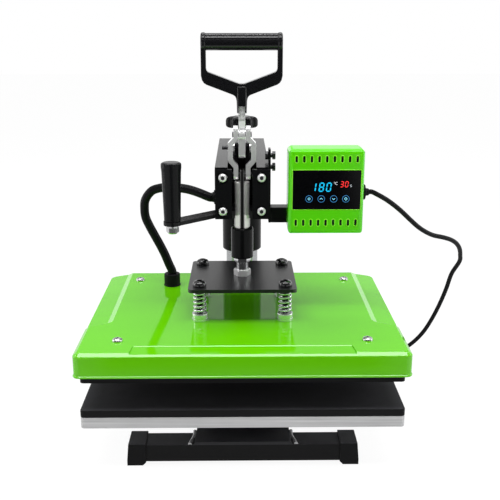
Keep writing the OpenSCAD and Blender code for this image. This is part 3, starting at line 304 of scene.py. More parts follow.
def rubbery(name, colour, rough, grain, depth, gloss=0.5, skin=None):
    """Matt silicone or rubber with pores and a little dust; below the height of a sheet's top skin the colour
    is darkened as painted shade.
    """
    f = Finish(name, IOR=1.42, Specular_IOR_Level=gloss)
    pore = f.noise(grain, 3, 0.65)
    dust = f.noise(30, 4, 0.6)
    tone = f.mix(dust, shade(colour, 0.8), shade(colour, 1.5))
    # painted shade: below the given height the colour drops to a tenth
    if skin:
        tone = f.mix(f.above(skin), shade(colour, 0.1), tone)
    f.to("Base Color", tone)
    f.to("Roughness", rough + 0.1 * pore)
    f.bump(pore, 0.3, depth)
    return f.material


def lit(name, colour, strength):
    """Lit sign behind the touch glass, a touch uneven."""
    f = Finish(name, Roughness=0.3, Emission_Strength=strength, Base_Color=(0.01, 0.01, 0.012, 1))
    f.to("Emission Color", f.mix(f.noise(300, 1), shade(colour, 0.85), colour))
    return f.material


def touch_glass(name):
    f = Finish(name, Coat_Weight=0.1, Coat_Roughness=0.02, IOR=1.5, Specular_IOR_Level=0.25)
    haze = f.noise(60, 3)
    f.to("Base Color", f.mix(haze, (0.001, 0.001, 0.0015), (0.003, 0.003, 0.004)))
    f.to("Roughness", 0.07 + 0.06 * haze)
    return f.material


def fleece(name):
    f = Finish(name, Sheen_Weight=0.3)
    fibre = f.noise(400, 4, 0.7, (1, 0.3, 1))
    f.to("Base Color", f.mix(fibre, (0.62, 0.60, 0.54), (0.86, 0.85, 0.80)))
    f.to("Roughness", 0.85 + 0.1 * fibre)
    f.bump(fibre, 0.5, 0.0008)
    return f.material


class PRESS_OT_finishes(bpy.types.Operator):
    """Make every paint, metal, plastic and rubber of the press."""

    bl_idname = "press.finishes"
    bl_label = "Finishes"

    def execute(self, context):
        c = colours()
        green, box_green, black, frame_black = (
            tuple(tone) for tone in (c.green, c.box_green, c.black, c.frame_black))
        FINISH.update(
            press_green=enamel("cover_green_enamel", green, 0.04, 0.15, 0.5),
            box_green=enamel("box_green_enamel", box_green, 0.12, 0.1, 0.4),
            # the lips are painted a paler green than the box: a painted highlight
            lip_green=enamel("box_lip_enamel", (0.24, 0.95, 0.01), 0.12, 0.1, 0.5),
            gloss_black=enamel("gloss_black_enamel", shade(black, 1.15), 0.2, 0.05, 0.15),
            bolt_black=enamel("black_bolt_gloss", black, 0.05, 0.7, 0.6),
            deep_black=enamel("deep_black_enamel", shade(black, 0.9), 0.16, 0.02, 0.1),
            # the base frame's tops above 26.1 mm get painted light
            frame_black=powder(
                "frame_black_powder_coat", frame_black, 0.38, 1400, 0.00008, 0.18, 0.0, 0.0261),
            plate_black=powder(
                "spring_plate_satin_black", shade(frame_black, 1.8), 0.33, 1100, 0.00005, 0.5, 0.55),
            black_plastic=powder("black_cap_plastic", shade(frame_black, 2.0), 0.42, 1100, 0.0001, 0.1),
            # the foot caps' tops above 28.1 mm get painted light
            cap_plastic=powder(
                "foot_cap_plastic", shade(frame_black, 1.2), 0.36, 1100, 0.0001, 0.14, 0.0, 0.0281),
            knob_plastic=powder("gloss_black_plastic", shade(black, 1.3), 0.16, 800, 0.00004, 0.16),
            handle_plastic=powder("handle_gloss_plastic", shade(black, 1.2), 0.1, 800, 0.00003, 0.5),
            # the weld beads are glossy black on the real press; their pale metal is a painted highlight
            weld=plated("bright_weld_bead", (0.50, 0.50, 0.51), 0.14, 0.1, 0.7),
            heat_face=powder("dark_non_stick", (0.003, 0.003, 0.0035), 0.45, 1500, 0.00005, 0.2),
            # the pad's faces below its top, 80.6 mm up, get painted shade
            silicone=rubbery("black_silicone", (0.040, 0.040, 0.045), 0.62, 1800, 0.00008, 0.35, 0.0806),
            cord_jacket=rubbery("black_cord_jacket", (0.007, 0.007, 0.008), 0.36, 1500, 0.00005, 0.12),
            hose_jacket=rubbery("black_hose_jacket", (0.006, 0.006, 0.007), 0.26, 1300, 0.00004, 0.12),
            chrome=plated("bright_chrome", (0.80, 0.81, 0.82), 0.05, 0.06),
            shaft=polished("polished_rod"),
            # the pale diffuse part of this chrome is a painted reflection, so lever, links, spacers, screws
            # and lock nut read bright
            satin=plated("satin_chrome", (0.98, 0.98, 0.99), 0.10, 0.08, 0.42),
            nut_chrome=plated("nut_chrome", (0.94, 0.94, 0.95), 0.08, 0.06, 0.75),
            zinc=plated("zinc_plate", (0.66, 0.66, 0.67), 0.2, 0.14),
            dark_steel=plated("oiled_dark_steel", (0.10, 0.10, 0.105), 0.28, 0.15),
            spring_steel=plated("bright_spring_wire", (0.86, 0.87, 0.88), 0.12, 0.08, 0.85),
            cast_alu=brushed(
                "milled_aluminium", (0.64, 0.64, 0.65), 0.30, (5, 380, 380), 0.00006, 0.35, (0.45, 1.55)),
            post_steel=brushed("ground_post_steel", (0.46, 0.47, 0.48), 0.18, (60, 60, 1500), 0.00004),
            bronze=brushed("sintered_bronze", (0.50, 0.34, 0.14), 0.4, (300, 300, 300), 0.00005),
            sheath=brushed("tinted_steel_sheath", (0.26, 0.21, 0.18), 0.4, (40, 600, 600), 0.00005),
            brass=plated("brass_blades", (0.72, 0.56, 0.28), 0.22, 0.12),
            board=powder("circuit_board_green", (0.01, 0.09, 0.03), 0.4, 500, 0.0001),
            fleece=fleece("pale_fleece"),
            panel=touch_glass("black_touch_glass"),
            digits=lit("temperature_light", tuple(c.digits), 1.15),
            timer=lit("timer_light", tuple(c.timer), 1.4),
            rings=lit("ring_light", (0.05, 0.32, 0.72), 1.0),
            icons=lit("icon_light", (0.25, 0.80, 1.0), 1.4),
            units=lit("unit_light", (0.75, 0.80, 0.85), 1.0))
        return {"FINISHED"}


# Modelling

def mm(*numbers):
    return Vector(numbers) * MM


def begin():
    if bpy.context.object and bpy.context.object.mode != "OBJECT":
        bpy.ops.object.mode_set(mode="OBJECT")
    bpy.ops.object.select_all(action="DESELECT")


def only(piece):
    begin()
    piece.select_set(True)
    bpy.context.view_layer.objects.active = piece


def named(name):
    piece = bpy.context.object
    piece.name = name
    piece.data.name = name
    return piece


def edit(piece):
    only(piece)
    bpy.ops.object.mode_set(mode="EDIT")
    bpy.ops.mesh.select_all(action="SELECT")


def outward(piece):
    edit(piece)
    bpy.ops.mesh.remove_doubles(threshold=1e-6)
    bpy.ops.mesh.normals_make_consistent(inside=False)
    bpy.ops.object.mode_set(mode="OBJECT")
    return piece


def modify(piece, kind, **settings):
    only(piece)
    made = piece.modifiers.new(kind.title(), kind)
    for key, value in settings.items():
        setattr(made, key, value)
    bpy.ops.object.modifier_apply(modifier=made.name)
    return piece


def smooth(piece, angle=32):
    only(piece)
    bpy.ops.object.shade_smooth_by_angle(angle=math.radians(angle))
    return modify(piece, "WEIGHTED_NORMAL", mode="FACE_AREA", keep_sharp=True, weight=60)


def soften(piece, width, segments=2, angle=30, smooth_angle=32):
    modify(piece, "BEVEL", width=width, segments=segments, limit_method="ANGLE",
           angle_limit=math.radians(angle), use_clamp_overlap=True, miter_outer="MITER_ARC")
    return smooth(piece, smooth_angle)


def block(name, low, high):
    """A cube primitive drawn out between two corners, in millimetres."""
    begin()
    bpy.ops.mesh.primitive_cube_add(size=1)
    piece = named(name)
    low, high = mm(*low), mm(*high)
    for v in piece.data.vertices:
        v.co = [low[i] + (v.co[i] + 0.5) * (high[i] - low[i]) for i in range(3)]
    return piece


TURN = {"Z": Matrix(), "X": Matrix.Rotation(math.pi / 2, 4, "Y"), "-Y": Matrix.Rotation(math.pi / 2, 4, "X")}


def turned(name, profile, at, axis="Z", sides=64):
    """A ring drawn up step by step, as on a lathe, along an axis: radii and heights in millimetres."""
    begin()
    radius, height = profile[0]
    bpy.ops.mesh.primitive_circle_add(vertices=sides, radius=radius * MM, fill_type="NGON")
    piece = named(name)
    edit(piece)
    bpy.ops.transform.translate(value=(0, 0, height * MM))
    for r, h in profile[1:]:
        bpy.ops.mesh.extrude_region_move(TRANSFORM_OT_translate={"value": (0, 0, (h - height) * MM)})
        share = r / radius
        bpy.ops.transform.resize(value=(share, share, 1), center_override=(0, 0, h * MM))
        radius, height = r, h
    bpy.ops.object.mode_set(mode="OBJECT")
    piece.data.transform(Matrix.Translation(mm(*at)) @ TURN[axis])
    return outward(piece)


def plate(name, outline, near, far):
    """An outline that faces the front, extruded from near to far, in millimetres."""
    begin()
    bpy.ops.mesh.primitive_circle_add(vertices=len(outline), fill_type="NGON")
    piece = named(name)
    for v, (x, z) in zip(piece.data.vertices, outline):
        v.co = mm(x, near, z)
    edit(piece)
    bpy.ops.mesh.extrude_region_move(TRANSFORM_OT_translate={"value": mm(0, far - near, 0)})
    bpy.ops.object.mode_set(mode="OBJECT")
    return outward(piece)


def lofted(name, rings, endless=False):
    """A closed skin through rings of equal count, capped or led round to the first, in millimetres."""
    n, count = len(rings[0]), len(rings)
    faces = []
    for i in range(count if endless else count - 1):
        here, there = i * n, (i + 1) % count * n
        faces += [[here + k, here + (k + 1) % n, there + (k + 1) % n, there + k] for k in range(n)]
    if not endless:
        faces += [list(range(n))[::-1], [(count - 1) * n + k for k in range(n)]]
    begin()
    mesh = bpy.data.meshes.new(name)
    mesh.from_pydata([mm(*p) for ring in rings for p in ring], [], faces)
    piece = bpy.data.objects.new(name, mesh)
    bpy.context.collection.objects.link(piece)
    return outward(piece)


def along(path, i):
    return (path[min(i + 1, len(path) - 1)] - path[max(i - 1, 0)]).normalized()


def tube(name, path, radius, sides=16):
    """A round tube along a path, its rings carried along without twist, in millimetres."""
    path = [Vector(p) for p in path]
    heading = along(path, 0)
    side = heading.orthogonal().normalized()
    rings = []
    for i, point in enumerate(path):
        new = along(path, i)
        side = heading.rotation_difference(new) @ side
        side = (side - new * side.dot(new)).normalized()
        heading = new
        up = new.cross(side)
        r = radius(i) if callable(radius) else radius
        rings.append([point + r * (side * math.cos(t) + up * math.sin(t))
                      for t in (2 * math.pi * k / sides for k in range(sides))])
    return smooth(lofted(name, rings), 40)


def copied(piece, name, shift):
    """A copy with a mesh of its own, moved in millimetres."""
    other = piece.copy()
    other.data = piece.data.copy()
    other.name = name
    other.data.name = name
    other.data.transform(Matrix.Translation(mm(*shift)))
    bpy.context.collection.objects.link(other)
    return other


def four(piece, wide, deep):
    """The right front piece of four, named with a 1, and its copies at the other corners."""
    stem = piece.name[:-1]
    return [piece] + [copied(piece, stem + str(k), shift) for k, shift in (
        (2, (-wide, 0, 0)), (3, (-wide, deep, 0)), (4, (0, deep, 0)))]


def cut(piece, *cutters, operation="DIFFERENCE"):
    for cutter in cutters:
        modify(piece, "BOOLEAN", operation=operation, object=cutter, solver="EXACT", material_mode="TRANSFER")
        bpy.data.objects.remove(cutter)
    return outward(piece)


def joined(pieces, name):
    begin()
    for piece in pieces:
        piece.select_set(True)
    bpy.context.view_layer.objects.active = pieces[0]
    bpy.ops.object.join()
    return named(name)


def from_cad(node, width=0.0006, segments=2, angle=28):
    """A merged copy of a CAD node with its edges eased."""
    begin()
    mesh = frame["nodes"][node].data.copy()
    piece = bpy.data.objects.new(node + "_dressed", mesh)
    mesh.name = piece.name
    bpy.context.collection.objects.link(piece)
    only(piece)
    bpy.ops.mesh.customdata_custom_splitnormals_clear()
    edit(piece)
    bpy.ops.mesh.remove_doubles(threshold=2e-6)
    bpy.ops.mesh.dissolve_limited(angle_limit=math.radians(0.8))
    bpy.ops.object.mode_set(mode="OBJECT")
    return soften(piece, width, segments, angle)


def paint(piece, finish):
    piece.data.materials.clear()
    piece.data.materials.append(FINISH[finish])


def settle(piece, finish, *nodes, body=None):
    """Paints a piece, seats it on its body and lets it stand for its nodes."""
    paint(piece, finish)
    if nodes:
        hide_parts(*nodes)
        nodes[0] in SLOT
    if body != "blend":
        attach(piece, body or BODY[nodes[0]])
    return piece


def dress(node, finish, *edge):
    """A CAD node with eased edges and its finish."""
    return settle(from_cad(node, *edge), finish, node)


def arc(cx, cy, r, start, end, steps):
    return [(cx + r * math.cos(math.radians(start + (end - start) * k / steps)),
             cy + r * math.sin(math.radians(start + (end - start) * k / steps))) for k in range(steps + 1)]


def rounded(cx, cy, half_w, half_d, r, steps=8):
    """Outline of a rectangle with round corners."""
    points = []
    for sx, sy, start in ((1, 1, 0), (-1, 1, 90), (-1, -1, 180), (1, -1, 270)):
        points += arc(cx + sx * (half_w - r), cy + sy * (half_d - r), r, start, start + 90, steps)
    return points


def spline(points, steps):
    """The route's points on one smooth curve through all of them."""
    points = [Vector(p) for p in points]
    found = []
    for i in range(len(points) - 1):
        a, b, c, d = (points[max(0, min(len(points) - 1, i + k))] for k in (-1, 0, 1, 2))
        for k in range(steps):
            t = k / steps
            found.append(0.5 * (2 * b + (c - a) * t + (2 * a - 5 * b + 4 * c - d) * t ** 2
                                + (3 * b - a - 3 * c + d) * t ** 3))
    return found + [points[-1]]


def length_of(path):
    return sum((path[i + 1] - path[i]).length for i in range(len(path) - 1))


# Studio

class PRESS_OT_stage(bpy.types.Operator):
    """Set up the camera, the floor, the lamps and the white background."""

    bl_idname = "press.stage"
    bl_label = "Studio"

    def execute(self, context):
        scene = context.scene
        scene.view_settings.view_transform = "Standard"
        lens = bpy.data.cameras.new("photo_camera")
        lens.sensor_width = 36
        lens.lens = 58.3
        lens.clip_end = 60
        camera = bpy.data.objects.new("photo_camera", lens)
        camera.location = mm(-2.3, -1053.8, 524.6)
        camera.rotation_euler = (math.radians(90 - 16.0), 0, math.radians(-0.70))
        scene.collection.objects.link(camera)
        scene.camera = camera
        self.floor()
        self.world(scene)
        for name, place, aim, size, power, colour in (
                ("top_softbox", (0.0, -0.56, 1.55), (0, -0.04, 0.15), (1.7, 0.22), 10.5, (1.0, 1.0, 1.0)),
                ("front_edge_strip", (0.0, -0.27, 1.60), (0, -0.04, 0.15), (1.9, 0.07), 5, (1.0, 1.0, 1.0)),
                ("back_edge_strip", (0.0, 0.45, 1.60), (0, -0.04, 0.15), (1.9, 0.05), 5.5, (1.0, 1.0, 1.0)),
                ("camera_strip", (0.0, -1.60, 1.35), (0, -0.04, 0.20), (1.9, 0.05), 0.8, (1.0, 1.0, 1.0)),
                ("left_softbox", (-1.30, 0.0, 0.60), (0, -0.04, 0.30), (0.18, 1.2), 3.4, (1.0, 0.99, 0.98)),
                ("right_softbox", (1.30, 0.05, 0.60), (0, -0.04, 0.30), (0.18, 1.2), 3.2, (0.98, 0.99, 1.0)),
                ("back_softbox", (0.10, 1.15, 1.95), (0, 0, 0.25), (1.6, 0.5), 4, (1.0, 1.0, 1.0))):
            lamp = bpy.data.lights.new(name, "AREA")
            lamp.shape = "RECTANGLE"
            lamp.size, lamp.size_y = size
            lamp.energy = power
            lamp.color = colour
            piece = bpy.data.objects.new(name, lamp)
            piece.location = place
            piece.rotation_euler = (Vector(aim) - Vector(place)).to_track_quat("-Z", "Y").to_euler()
            scene.collection.objects.link(piece)
        return {"FINISHED"}

    def floor(self):
        begin()
        bpy.ops.mesh.primitive_plane_add(size=14)
        floor = named("floor")
        floor.data.transform(Matrix.Translation((0, 0, -0.0003)))
        f = Finish("pale_floor", Base_Color=(0.86, 0.86, 0.86, 1), Roughness=0.7)
        camera, mirrored = f.ray("Camera"), (f.ray("Glossy") + f.ray("Transmission")).at_most(1.0)
        across, ahead = f.spot("X").absolute(), -1 * f.spot("Y")
        # mirrors see a dark wedge of floor in front of the press, and pale floor round it
        wedge = ((0.12 * ahead + 0.27 - across) * 8).clamped() * ((ahead - 0.40) * 8).clamped()
        pale = 0.85 - 0.84 * wedge
        white = f.node("ShaderNodeEmission", None, {
            "Color": (1, 1, 1, 1), "Strength": camera * 1.08 + mirrored * pale})
        f.feed(f.tree.nodes["Material Output"].inputs["Surface"], f.node("ShaderNodeMixShader", None, {
            0: camera * 0.86 + mirrored * 0.97, 1: Value(f, f.shader.outputs[0]), 2: white}))
        floor.data.materials.append(f.material)

    def world(self, scene):
        scene.world = bpy.data.worlds.new("white_studio")
        w = Nodes(scene.world)
        x, y, z = (w.spot(axis, "Generated") for axis in "XYZ")
        camera, mirrored = w.ray("Camera"), (w.ray("Glossy") + w.ray("Transmission")).at_most(1.0)
        # mirrors see a dim room in front, side walls, and a grey backdrop that pales to the horizon
        behind = ((y + 0.35) * 1.6).clamped()
        wall = ((x.absolute() - 0.45) * 2.2).clamped()
        haze = ((0.3 - z) * 3.3).clamped()
        room = behind * (haze * 0.8 + 0.42) + 0.06 + wall * 0.3
        # paint is lit most from above and behind
        soft = (y * 0.55 + z * 0.4 + 0.45).clamped() * 0.5 + 0.12
        lighting = (1.0 - camera.at_least(mirrored)) * soft
        back = w.tree.nodes["Background"].inputs
        w.feed(back["Strength"], camera.at_least(mirrored * room) + lighting)
        back["Color"].default_value = (1, 1, 1, 1)


# Cords

COIL_CENTRE = Vector((112, 112, 0))
COIL_R, COIL_PITCH, COIL_Z, COIL_TURNS = 42, 6.8, 4.05, 2
GLAND_LOW, GLAND_HIGH = (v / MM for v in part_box("cord_gland"))
GLAND = (GLAND_HIGH.x - 8.5, (GLAND_LOW.y + GLAND_HIGH.y) / 2, (GLAND_LOW.z + GLAND_HIGH.z) / 2)
CORD_START = Vector((GLAND_HIGH.x, *GLAND[1:]))
COIL_START = Vector((121.45, 154, COIL_Z))
CORD_DROP = (
    (4, 0, 0), (12, 2, -4.2), (22.9, 7.4, -11), (34.6, 13.1, -19.7), (46.7, 19.6, -30.1), (59.3, 26.7, -42.2),
    (72.1, 34.5, -54), (85.2, 42.8, -63.6), (98.4, 51.6, -70.8), (113.7, 60.9, -76.1), (127.5, 70.6, -82.4),
    (138.1, 80.6, -90.6), (145.7, 91.1, -101.3), (150.2, 101.9, -113.3), (152.5, 112, -126.1))
CORD_LIE = (
    (185.5, -80, 160), (182.5, -67, 132), (177.5, -55, 104), (170.5, -43, 76), (160.5, -32, 49),
    (146.5, -21, 26), (128.5, -12, 9), (106.5, -5, 1), (82.5, -1, 0), (56.5, 0, 0), (30.5, 0, 0), (6.3, 0, 0))
HOSE_START = Vector((-100.5, 55, 172.6))
HOSE_END = Vector((-40, 22, 291))
HOSE_RISE = (
    (0, 0, 4), (-4.2, 0, 14), (-9.6, 0, 28.2), (-16.2, -0.5, 42.8), (-22.6, -1.5, 55.9), (-29.5, -3, 70.5),
    (-34.3, -5, 83.5), (-35.2, -7, 96.4))
HOSE_FALL = (
    (-94, 24, -9.2), (-86.6, 22, 2), (-77.3, 20, 7.4), (-58.9, 15, 10.9), (-39.3, 10, 9.7), (-28.8, 7, 8),
    (-16.9, 3.4, 4.6), (-4, 0, 0))
PLUG = (140.9, 70, COIL_Z + COIL_PITCH)


def route(start, after_start, end, before_end, steps):
    return spline([start, *(start + Vector(v) for v in after_start),
                   *(end + Vector(v) for v in before_end), end], steps)


def coil_points():
    """A layer that winds inwards, a half turn that climbs, and a layer that winds outwards."""
    found = []
    last = 2 * COIL_TURNS + 0.5
    for i in range(int(last * 36) + 1):
        t = i / 36
        if t < COIL_TURNS:
            r, z = COIL_R - COIL_PITCH * t, 0
        elif t < COIL_TURNS + 0.5:
            r = COIL_R - COIL_PITCH * COIL_TURNS - 2.4 * math.sin(2 * math.pi * (t - COIL_TURNS))
            z = COIL_PITCH * (1 - math.cos(2 * math.pi * (t - COIL_TURNS))) / 2
        else:
            r, z = COIL_R - COIL_PITCH * (last - t), COIL_PITCH
        a = math.pi / 2 + 2 * math.pi * t
        found.append(COIL_CENTRE + Vector((r * math.cos(a), r * math.sin(a), COIL_Z + z)))
    return found


class PRESS_OT_cords(bpy.types.Operator):
    """Make the mains cord with its coil and plug, and the hose between cover and arm."""

    bl_idname = "press.cords"
    bl_label = "Cord and hose"

    def execute(self, context):
        self.plug()
        self.cord()
        self.hose()
        self.glands()
        return {"FINISHED"}

    def plug(self):
        x, y, z = PLUG
        body = soften(block("plug_body", (x + 13.5, y - 14, 0.1), (x + 40, y + 14, 21.6)), 0.005, 5)
        rings = [(3.9, 0), (4.3, 1)]
        for k in range(4):
            rings += [(r + 0.5 * k, h + 3 * k) for r, h in ((4.4, 1.6), (4.5, 3.2), (3.7, 3.5), (3.7, 4.3))]
        neck = smooth(turned("plug_neck", rings + [(6.4, 14.6)], (x, y, z), "X", 32))
        blades = []
        for middle in (y - 6.35, y + 6.35):
            blade = block("plug_blade", (x + 39, middle - 0.75, z - 1), (x + 57, middle + 0.75, z + 5.3))
            blades.append(soften(blade, 0.0005))
        pin = [(2.4, 0), (2.4, 18), (1.9, 19.4), (0.9, 20)]
        earth = smooth(turned("plug_earth", pin, (x + 39, y, z - 6), "X", 24))
        self.plug_parts = [settle(joined([body, neck], "plug_moulding"), "black_plastic", "cord_plug"),
                           settle(joined([*blades, earth], "plug_pins"), "brass", body="base"),
                           dress("coil_tie", "black_plastic", 0.0002)]

    def cord(self):
        path = route(CORD_START, CORD_DROP, COIL_START, CORD_LIE, 5)[:-1]
        path += [COIL_START, *coil_points(), Vector(PLUG)]
        cord = tube("mains_cord", path, sizes().cord / MM / 2, 14)
        settle(cord, "cord_jacket", "cord", "cord_coil", body="blend")
        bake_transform(cord)
        metres = [p * MM for p in path]
        length_of(metres)

    def hose(self):
        path = route(HOSE_START, HOSE_RISE, HOSE_END, HOSE_FALL, 24)
        third = length_of(path) / 3
        marks, run = [0], 0
        for i in range(len(path) - 1):
            run += (path[i + 1] - path[i]).length
            if run > third * len(marks) and len(marks) < 3:
                marks.append(i + 1)
        marks.append(len(path) - 1)
        for k in range(3):
            part = path[marks[k]:marks[k + 1] + 1]
            piece = tube(("hose_lower", "hose_middle", "hose_upper")[k], part, sizes().hose / MM / 2, 24)
            settle(piece, "hose_jacket", "hose", body="blend")
            part[15] * MM
            part[-16] * MM
            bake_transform(piece)
            metres = [p * MM for p in part]
            length_of(metres)

    def glands(self):
        boot = [(9.75, 0), (9.75, 2.2), (9.2, 3.4), (5.5, 3.5), (5.3, 4.6), (4.7, 5.2), (4.7, 6.2),
                (4.4, 7.6), (3.6, 8.5)]
        settle(smooth(turned("cord_boot", boot, GLAND, "X", 40)), "black_plastic", "cord_gland")
        cuff = [(11.8, 0), (11.95, 0.5), (11.9, 1.1), (11.4, 2.2), (11.25, 3.2), (11.25, 16.0), (11.0, 16.9),
                (10.2, 17.5), (7.4, 17.5), (6.5, 17.2)]
        cuff = turned("cover_hose_cuff", cuff, (*HOSE_START.xy, COVER_TOP), "Z", 48)
        settle(smooth(cuff), "black_plastic", "cover_hose_gland")
        dress("arm_hose_gland", "black_plastic", 0.0005)


# Heat platen and its cover

COVER_Y, COVER_W, COVER_D = -40, 196.5, 156
COVER_Z, COVER_TOP = 124.8, 155.1


class PRESS_OT_cover(bpy.types.Operator):
    """Make the green cover over the heat platen, with its stepped sides and its screws."""

    bl_idname = "press.cover"
    bl_label = "Platen cover"

    def execute(self, context):
        levels = ((0.3, 0), (-0.9, 0.3), (-1.0, 0.7), (-1.0, 1.6), (-0.7, 2.2), (-0.1, 2.7), (0, 3.4),
                  (0, 25.3), (0.2, 26.0), (0.7, 26.6), (4.4, 29.8), (5.0, 30.15), (5.8, 30.3))
        rings = [[(x, y, COVER_Z + h) for x, y in rounded(
            0, COVER_Y, COVER_W - inset, COVER_D - inset, max(8 - inset, 2.5), 8)] for inset, h in levels]
        cover = cut(lofted("cover_shell", rings), self.step(1), self.step(-1), self.front_bevel())
        # the underside is opened, and the skin gets its thickness
        edit(cover)
        bpy.ops.mesh.select_all(action="DESELECT")
        bpy.ops.object.mode_set(mode="OBJECT")
        for face in cover.data.polygons:
            face.select = face.normal.z < -0.9 and face.center.z < (COVER_Z + 0.2) * MM and face.area > 0.01
        if not any(face.select for face in cover.data.polygons):
            raise RuntimeError("the cover's underside was not found")
        only(cover)
        bpy.ops.object.mode_set(mode="EDIT")
        bpy.ops.mesh.delete(type="FACE")
        bpy.ops.object.mode_set(mode="OBJECT")
        modify(cover, "SOLIDIFY", thickness=0.0014, offset=-1)
        soften(cover, 0.0004, 2, 20, 28)
        settle(cover, "press_green", "platen_cover")
        self.screws()
        return {"FINISHED"}

    def step(self, side):
        """Cutter for the lowered band along one side: a slope, a slanted end with a round corner, a shelf."""
        x0, y0, run, drop, fall = 164, -95, 8.0, 4.2, 3.7
        outside, back, corner_r = 205, 125, 16
        slant = Vector((16, 30.5)).normalized()
        rings = []
        for share in (-1, 0, 0.06, 0.94, 1):
            o = max(share, 0) * run
            corner = Vector((x0 + o, y0 + o * (1 - slant.x) / slant.y))
            r = corner_r - o
            mid = math.degrees(math.atan2(slant.y, slant.x))
            # the round corner touches the inner edge and the slanted end
            centre = corner + Vector((r, r * (1 - slant.x) / slant.y))
            ring = [(outside, back), (x0 + o, back)]
            ring += arc(centre.x, centre.y, r, 180, 180 + mid, 8)
            ring += [(outside, y0 + (o - slant.x * (outside - x0)) / slant.y)]
            eased = {0.06: 0.02, 0.94: 0.98}.get(share, max(share, 0))
            rings.append([(side * x, y, COVER_TOP + 3 if share < 0 else COVER_TOP - 0.02 - eased * (
                drop + fall * max(0, (x - x0 - run) / (COVER_W - x0 - run)))) for x, y in ring])
        return lofted("step_cutter", rings)

    def front_bevel(self):
        """Cutter for the shallow bevel along the front edge."""
        rows = ((128, -171.6, 3), (128, -171.6, 0), (129, -172.5, -0.75), (132, -200, -2.1), (132, -200, 3))
        right = [(x, y, COVER_TOP + z) for x, y, z in rows]
        left = [(-x, y, z) for x, y, z in right]
        return lofted("bevel_cutter", [left, right])

    def screws(self):
        pan = [(6.2, 0), (6.25, 0.8), (6.1, 1.7), (5.3, 2.8), (3.9, 3.6), (2.0, 4.0), (0.2, 4.1)]
        x, y, far_y = 149, -156, 76
        screw = turned("cover_screw_1", pan, (x, y, COVER_TOP), "Z", 48)
        arms = [block("cross_arm", (x - a, y - b, COVER_TOP + 1.8), (x + a, y + b, COVER_TOP + 6))
                for a, b in ((3.2, 0.65), (0.65, 3.2))]
        screw = smooth(cut(screw, *arms), 30)
        for piece in four(screw, 2 * x, far_y - y):
            settle(piece, "zinc", "cover_screws")


class PRESS_OT_platens(bpy.types.Operator):
    """Make the heat platen, the lower platen and the silicone pad."""

    bl_idname = "press.platens"
    bl_label = "Platens and pad"

    def execute(self, context):
        dress("heat_platen", "heat_face", 0.0012, 3)
        dress("lower_platen", "cast_alu", 0.0008, 3)
        low, high = (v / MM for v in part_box("silicone_pad"))
        half_d, corner_r = 150, 5
        levels = ((0.5, 0), (0.1, 0.3), (0, 0.8), (0, 8.0), (0.25, 8.6), (0.8, 8.98), (2.4, 9.1))
        rings = [[(x, y, low.z + h) for x, y in rounded(
            0, COVER_Y, high.x - inset, half_d - inset, corner_r, 8)] for inset, h in levels]
        pad = smooth(lofted("pad_sheet", rings), 40)
        settle(pad, "silicone", "silicone_pad")
        for node, finish in (
                ("heating_element", "sheath"), ("insulation", "fleece"), ("cover_standoffs", "zinc")):
            paint(frame["nodes"][node], finish)
        return {"FINISHED"}


# Base and post

class PRESS_OT_base(bpy.types.Operator):
    """Make the base frame with its weld beads, the foot caps, the post and its flange."""

    bl_idname = "press.base"
    bl_label = "Base and post"

    def execute(self, context):
        dress("base_frame", "frame_black", 0.0012, 3)
        dress("foot_caps", "cap_plastic", 0.0011, 3)
        dress("platen_pedestal", "frame_black", 0.0008)
        dress("post_flange", "frame_black", 0.0012, 3)
        dress("post", "post_steel", 0.0005)
        dress("flange_bolts", "zinc", 0.0005)
        dress("pedestal_bolts", "zinc", 0.0005)
        self.welds()
        return {"FINISHED"}

    def welds(self):
        """Rippled beads in the corners between the centre beam and the cross tubes."""
        steps, length, inner_x, top_z = 60, 29, 59.4, 28.6
        beads = []
        for y in (-159, 180):
            front = -1 if y < 0 else 1
            for side in (-1, 1):
                path = []
                for k in range(steps + 1):
                    t = k / steps
                    x = inner_x + 5.4 * t * t + 0.25 * math.sin(k * 1.1)
                    z = top_z - 1.6 * t + 0.2 * math.sin(k * 1.3)
                    path.append((side * x, y + front * length * (t - 0.5), z))
                beads.append(tube("bead", path, lambda i: 2.3 + 0.35 * math.sin(i * 1.25), 12))
        settle(joined(beads, "weld_beads"), "weld", body="base")


# Arm

class PRESS_OT_arm(bpy.types.Operator):
    """Make the swinging arm with its sleeve, front plates, guide and screws."""

    bl_idname = "press.arm"
    bl_label = "Arm and sleeve"

    def execute(self, context):
        dress("arm", "gloss_black", 0.0020, 4)
        dress("front_plates", "gloss_black", 0.0011, 3)
        dress("pivot_sleeve", "deep_black", 0.0006)
        dress("ram_guide", "dark_steel", 0.0005)
        dress("thrust_washer", "bronze", 0.0003)
        self.screws()
        return {"FINISHED"}

    def screws(self):
        button = [(5.3, 0), (5.4, 0.4), (5.35, 1.2), (4.9, 2.2), (4.0, 3.0), (3.0, 3.5), (1.5, 3.6),
                  (0.2, 3.6)]
        seat_y, out_x, low_z, high_z = -62.8, 24.2, 290.8, 333.6
        shade_floors = []
        for k, (x, z) in enumerate(((-out_x, low_z), (-out_x, high_z), (out_x, low_z), (out_x, high_z))):
            head = turned("front_screw_%d" % (k + 1), button, (x, seat_y, z), "-Y", 48)
            cut(head, turned("socket", [(2.7, 0), (2.7, 4)], (x, seat_y - 1, z), "-Y", 6))
            settle(smooth(head, 30), "satin", "front_plate_screws")
            # painted shade: a dark steel floor deep in each hex socket
            shade_floors.append(turned("socket_floor", [(2.62, 0), (2.62, 0.3)], (x, seat_y - 0.9, z), "-Y", 6))
        settle(joined(shade_floors, "socket_floors"), "dark_steel", body="head")


# Lever, links and pressure knob

KNOB_Y, KNOB_Z = 6, 387


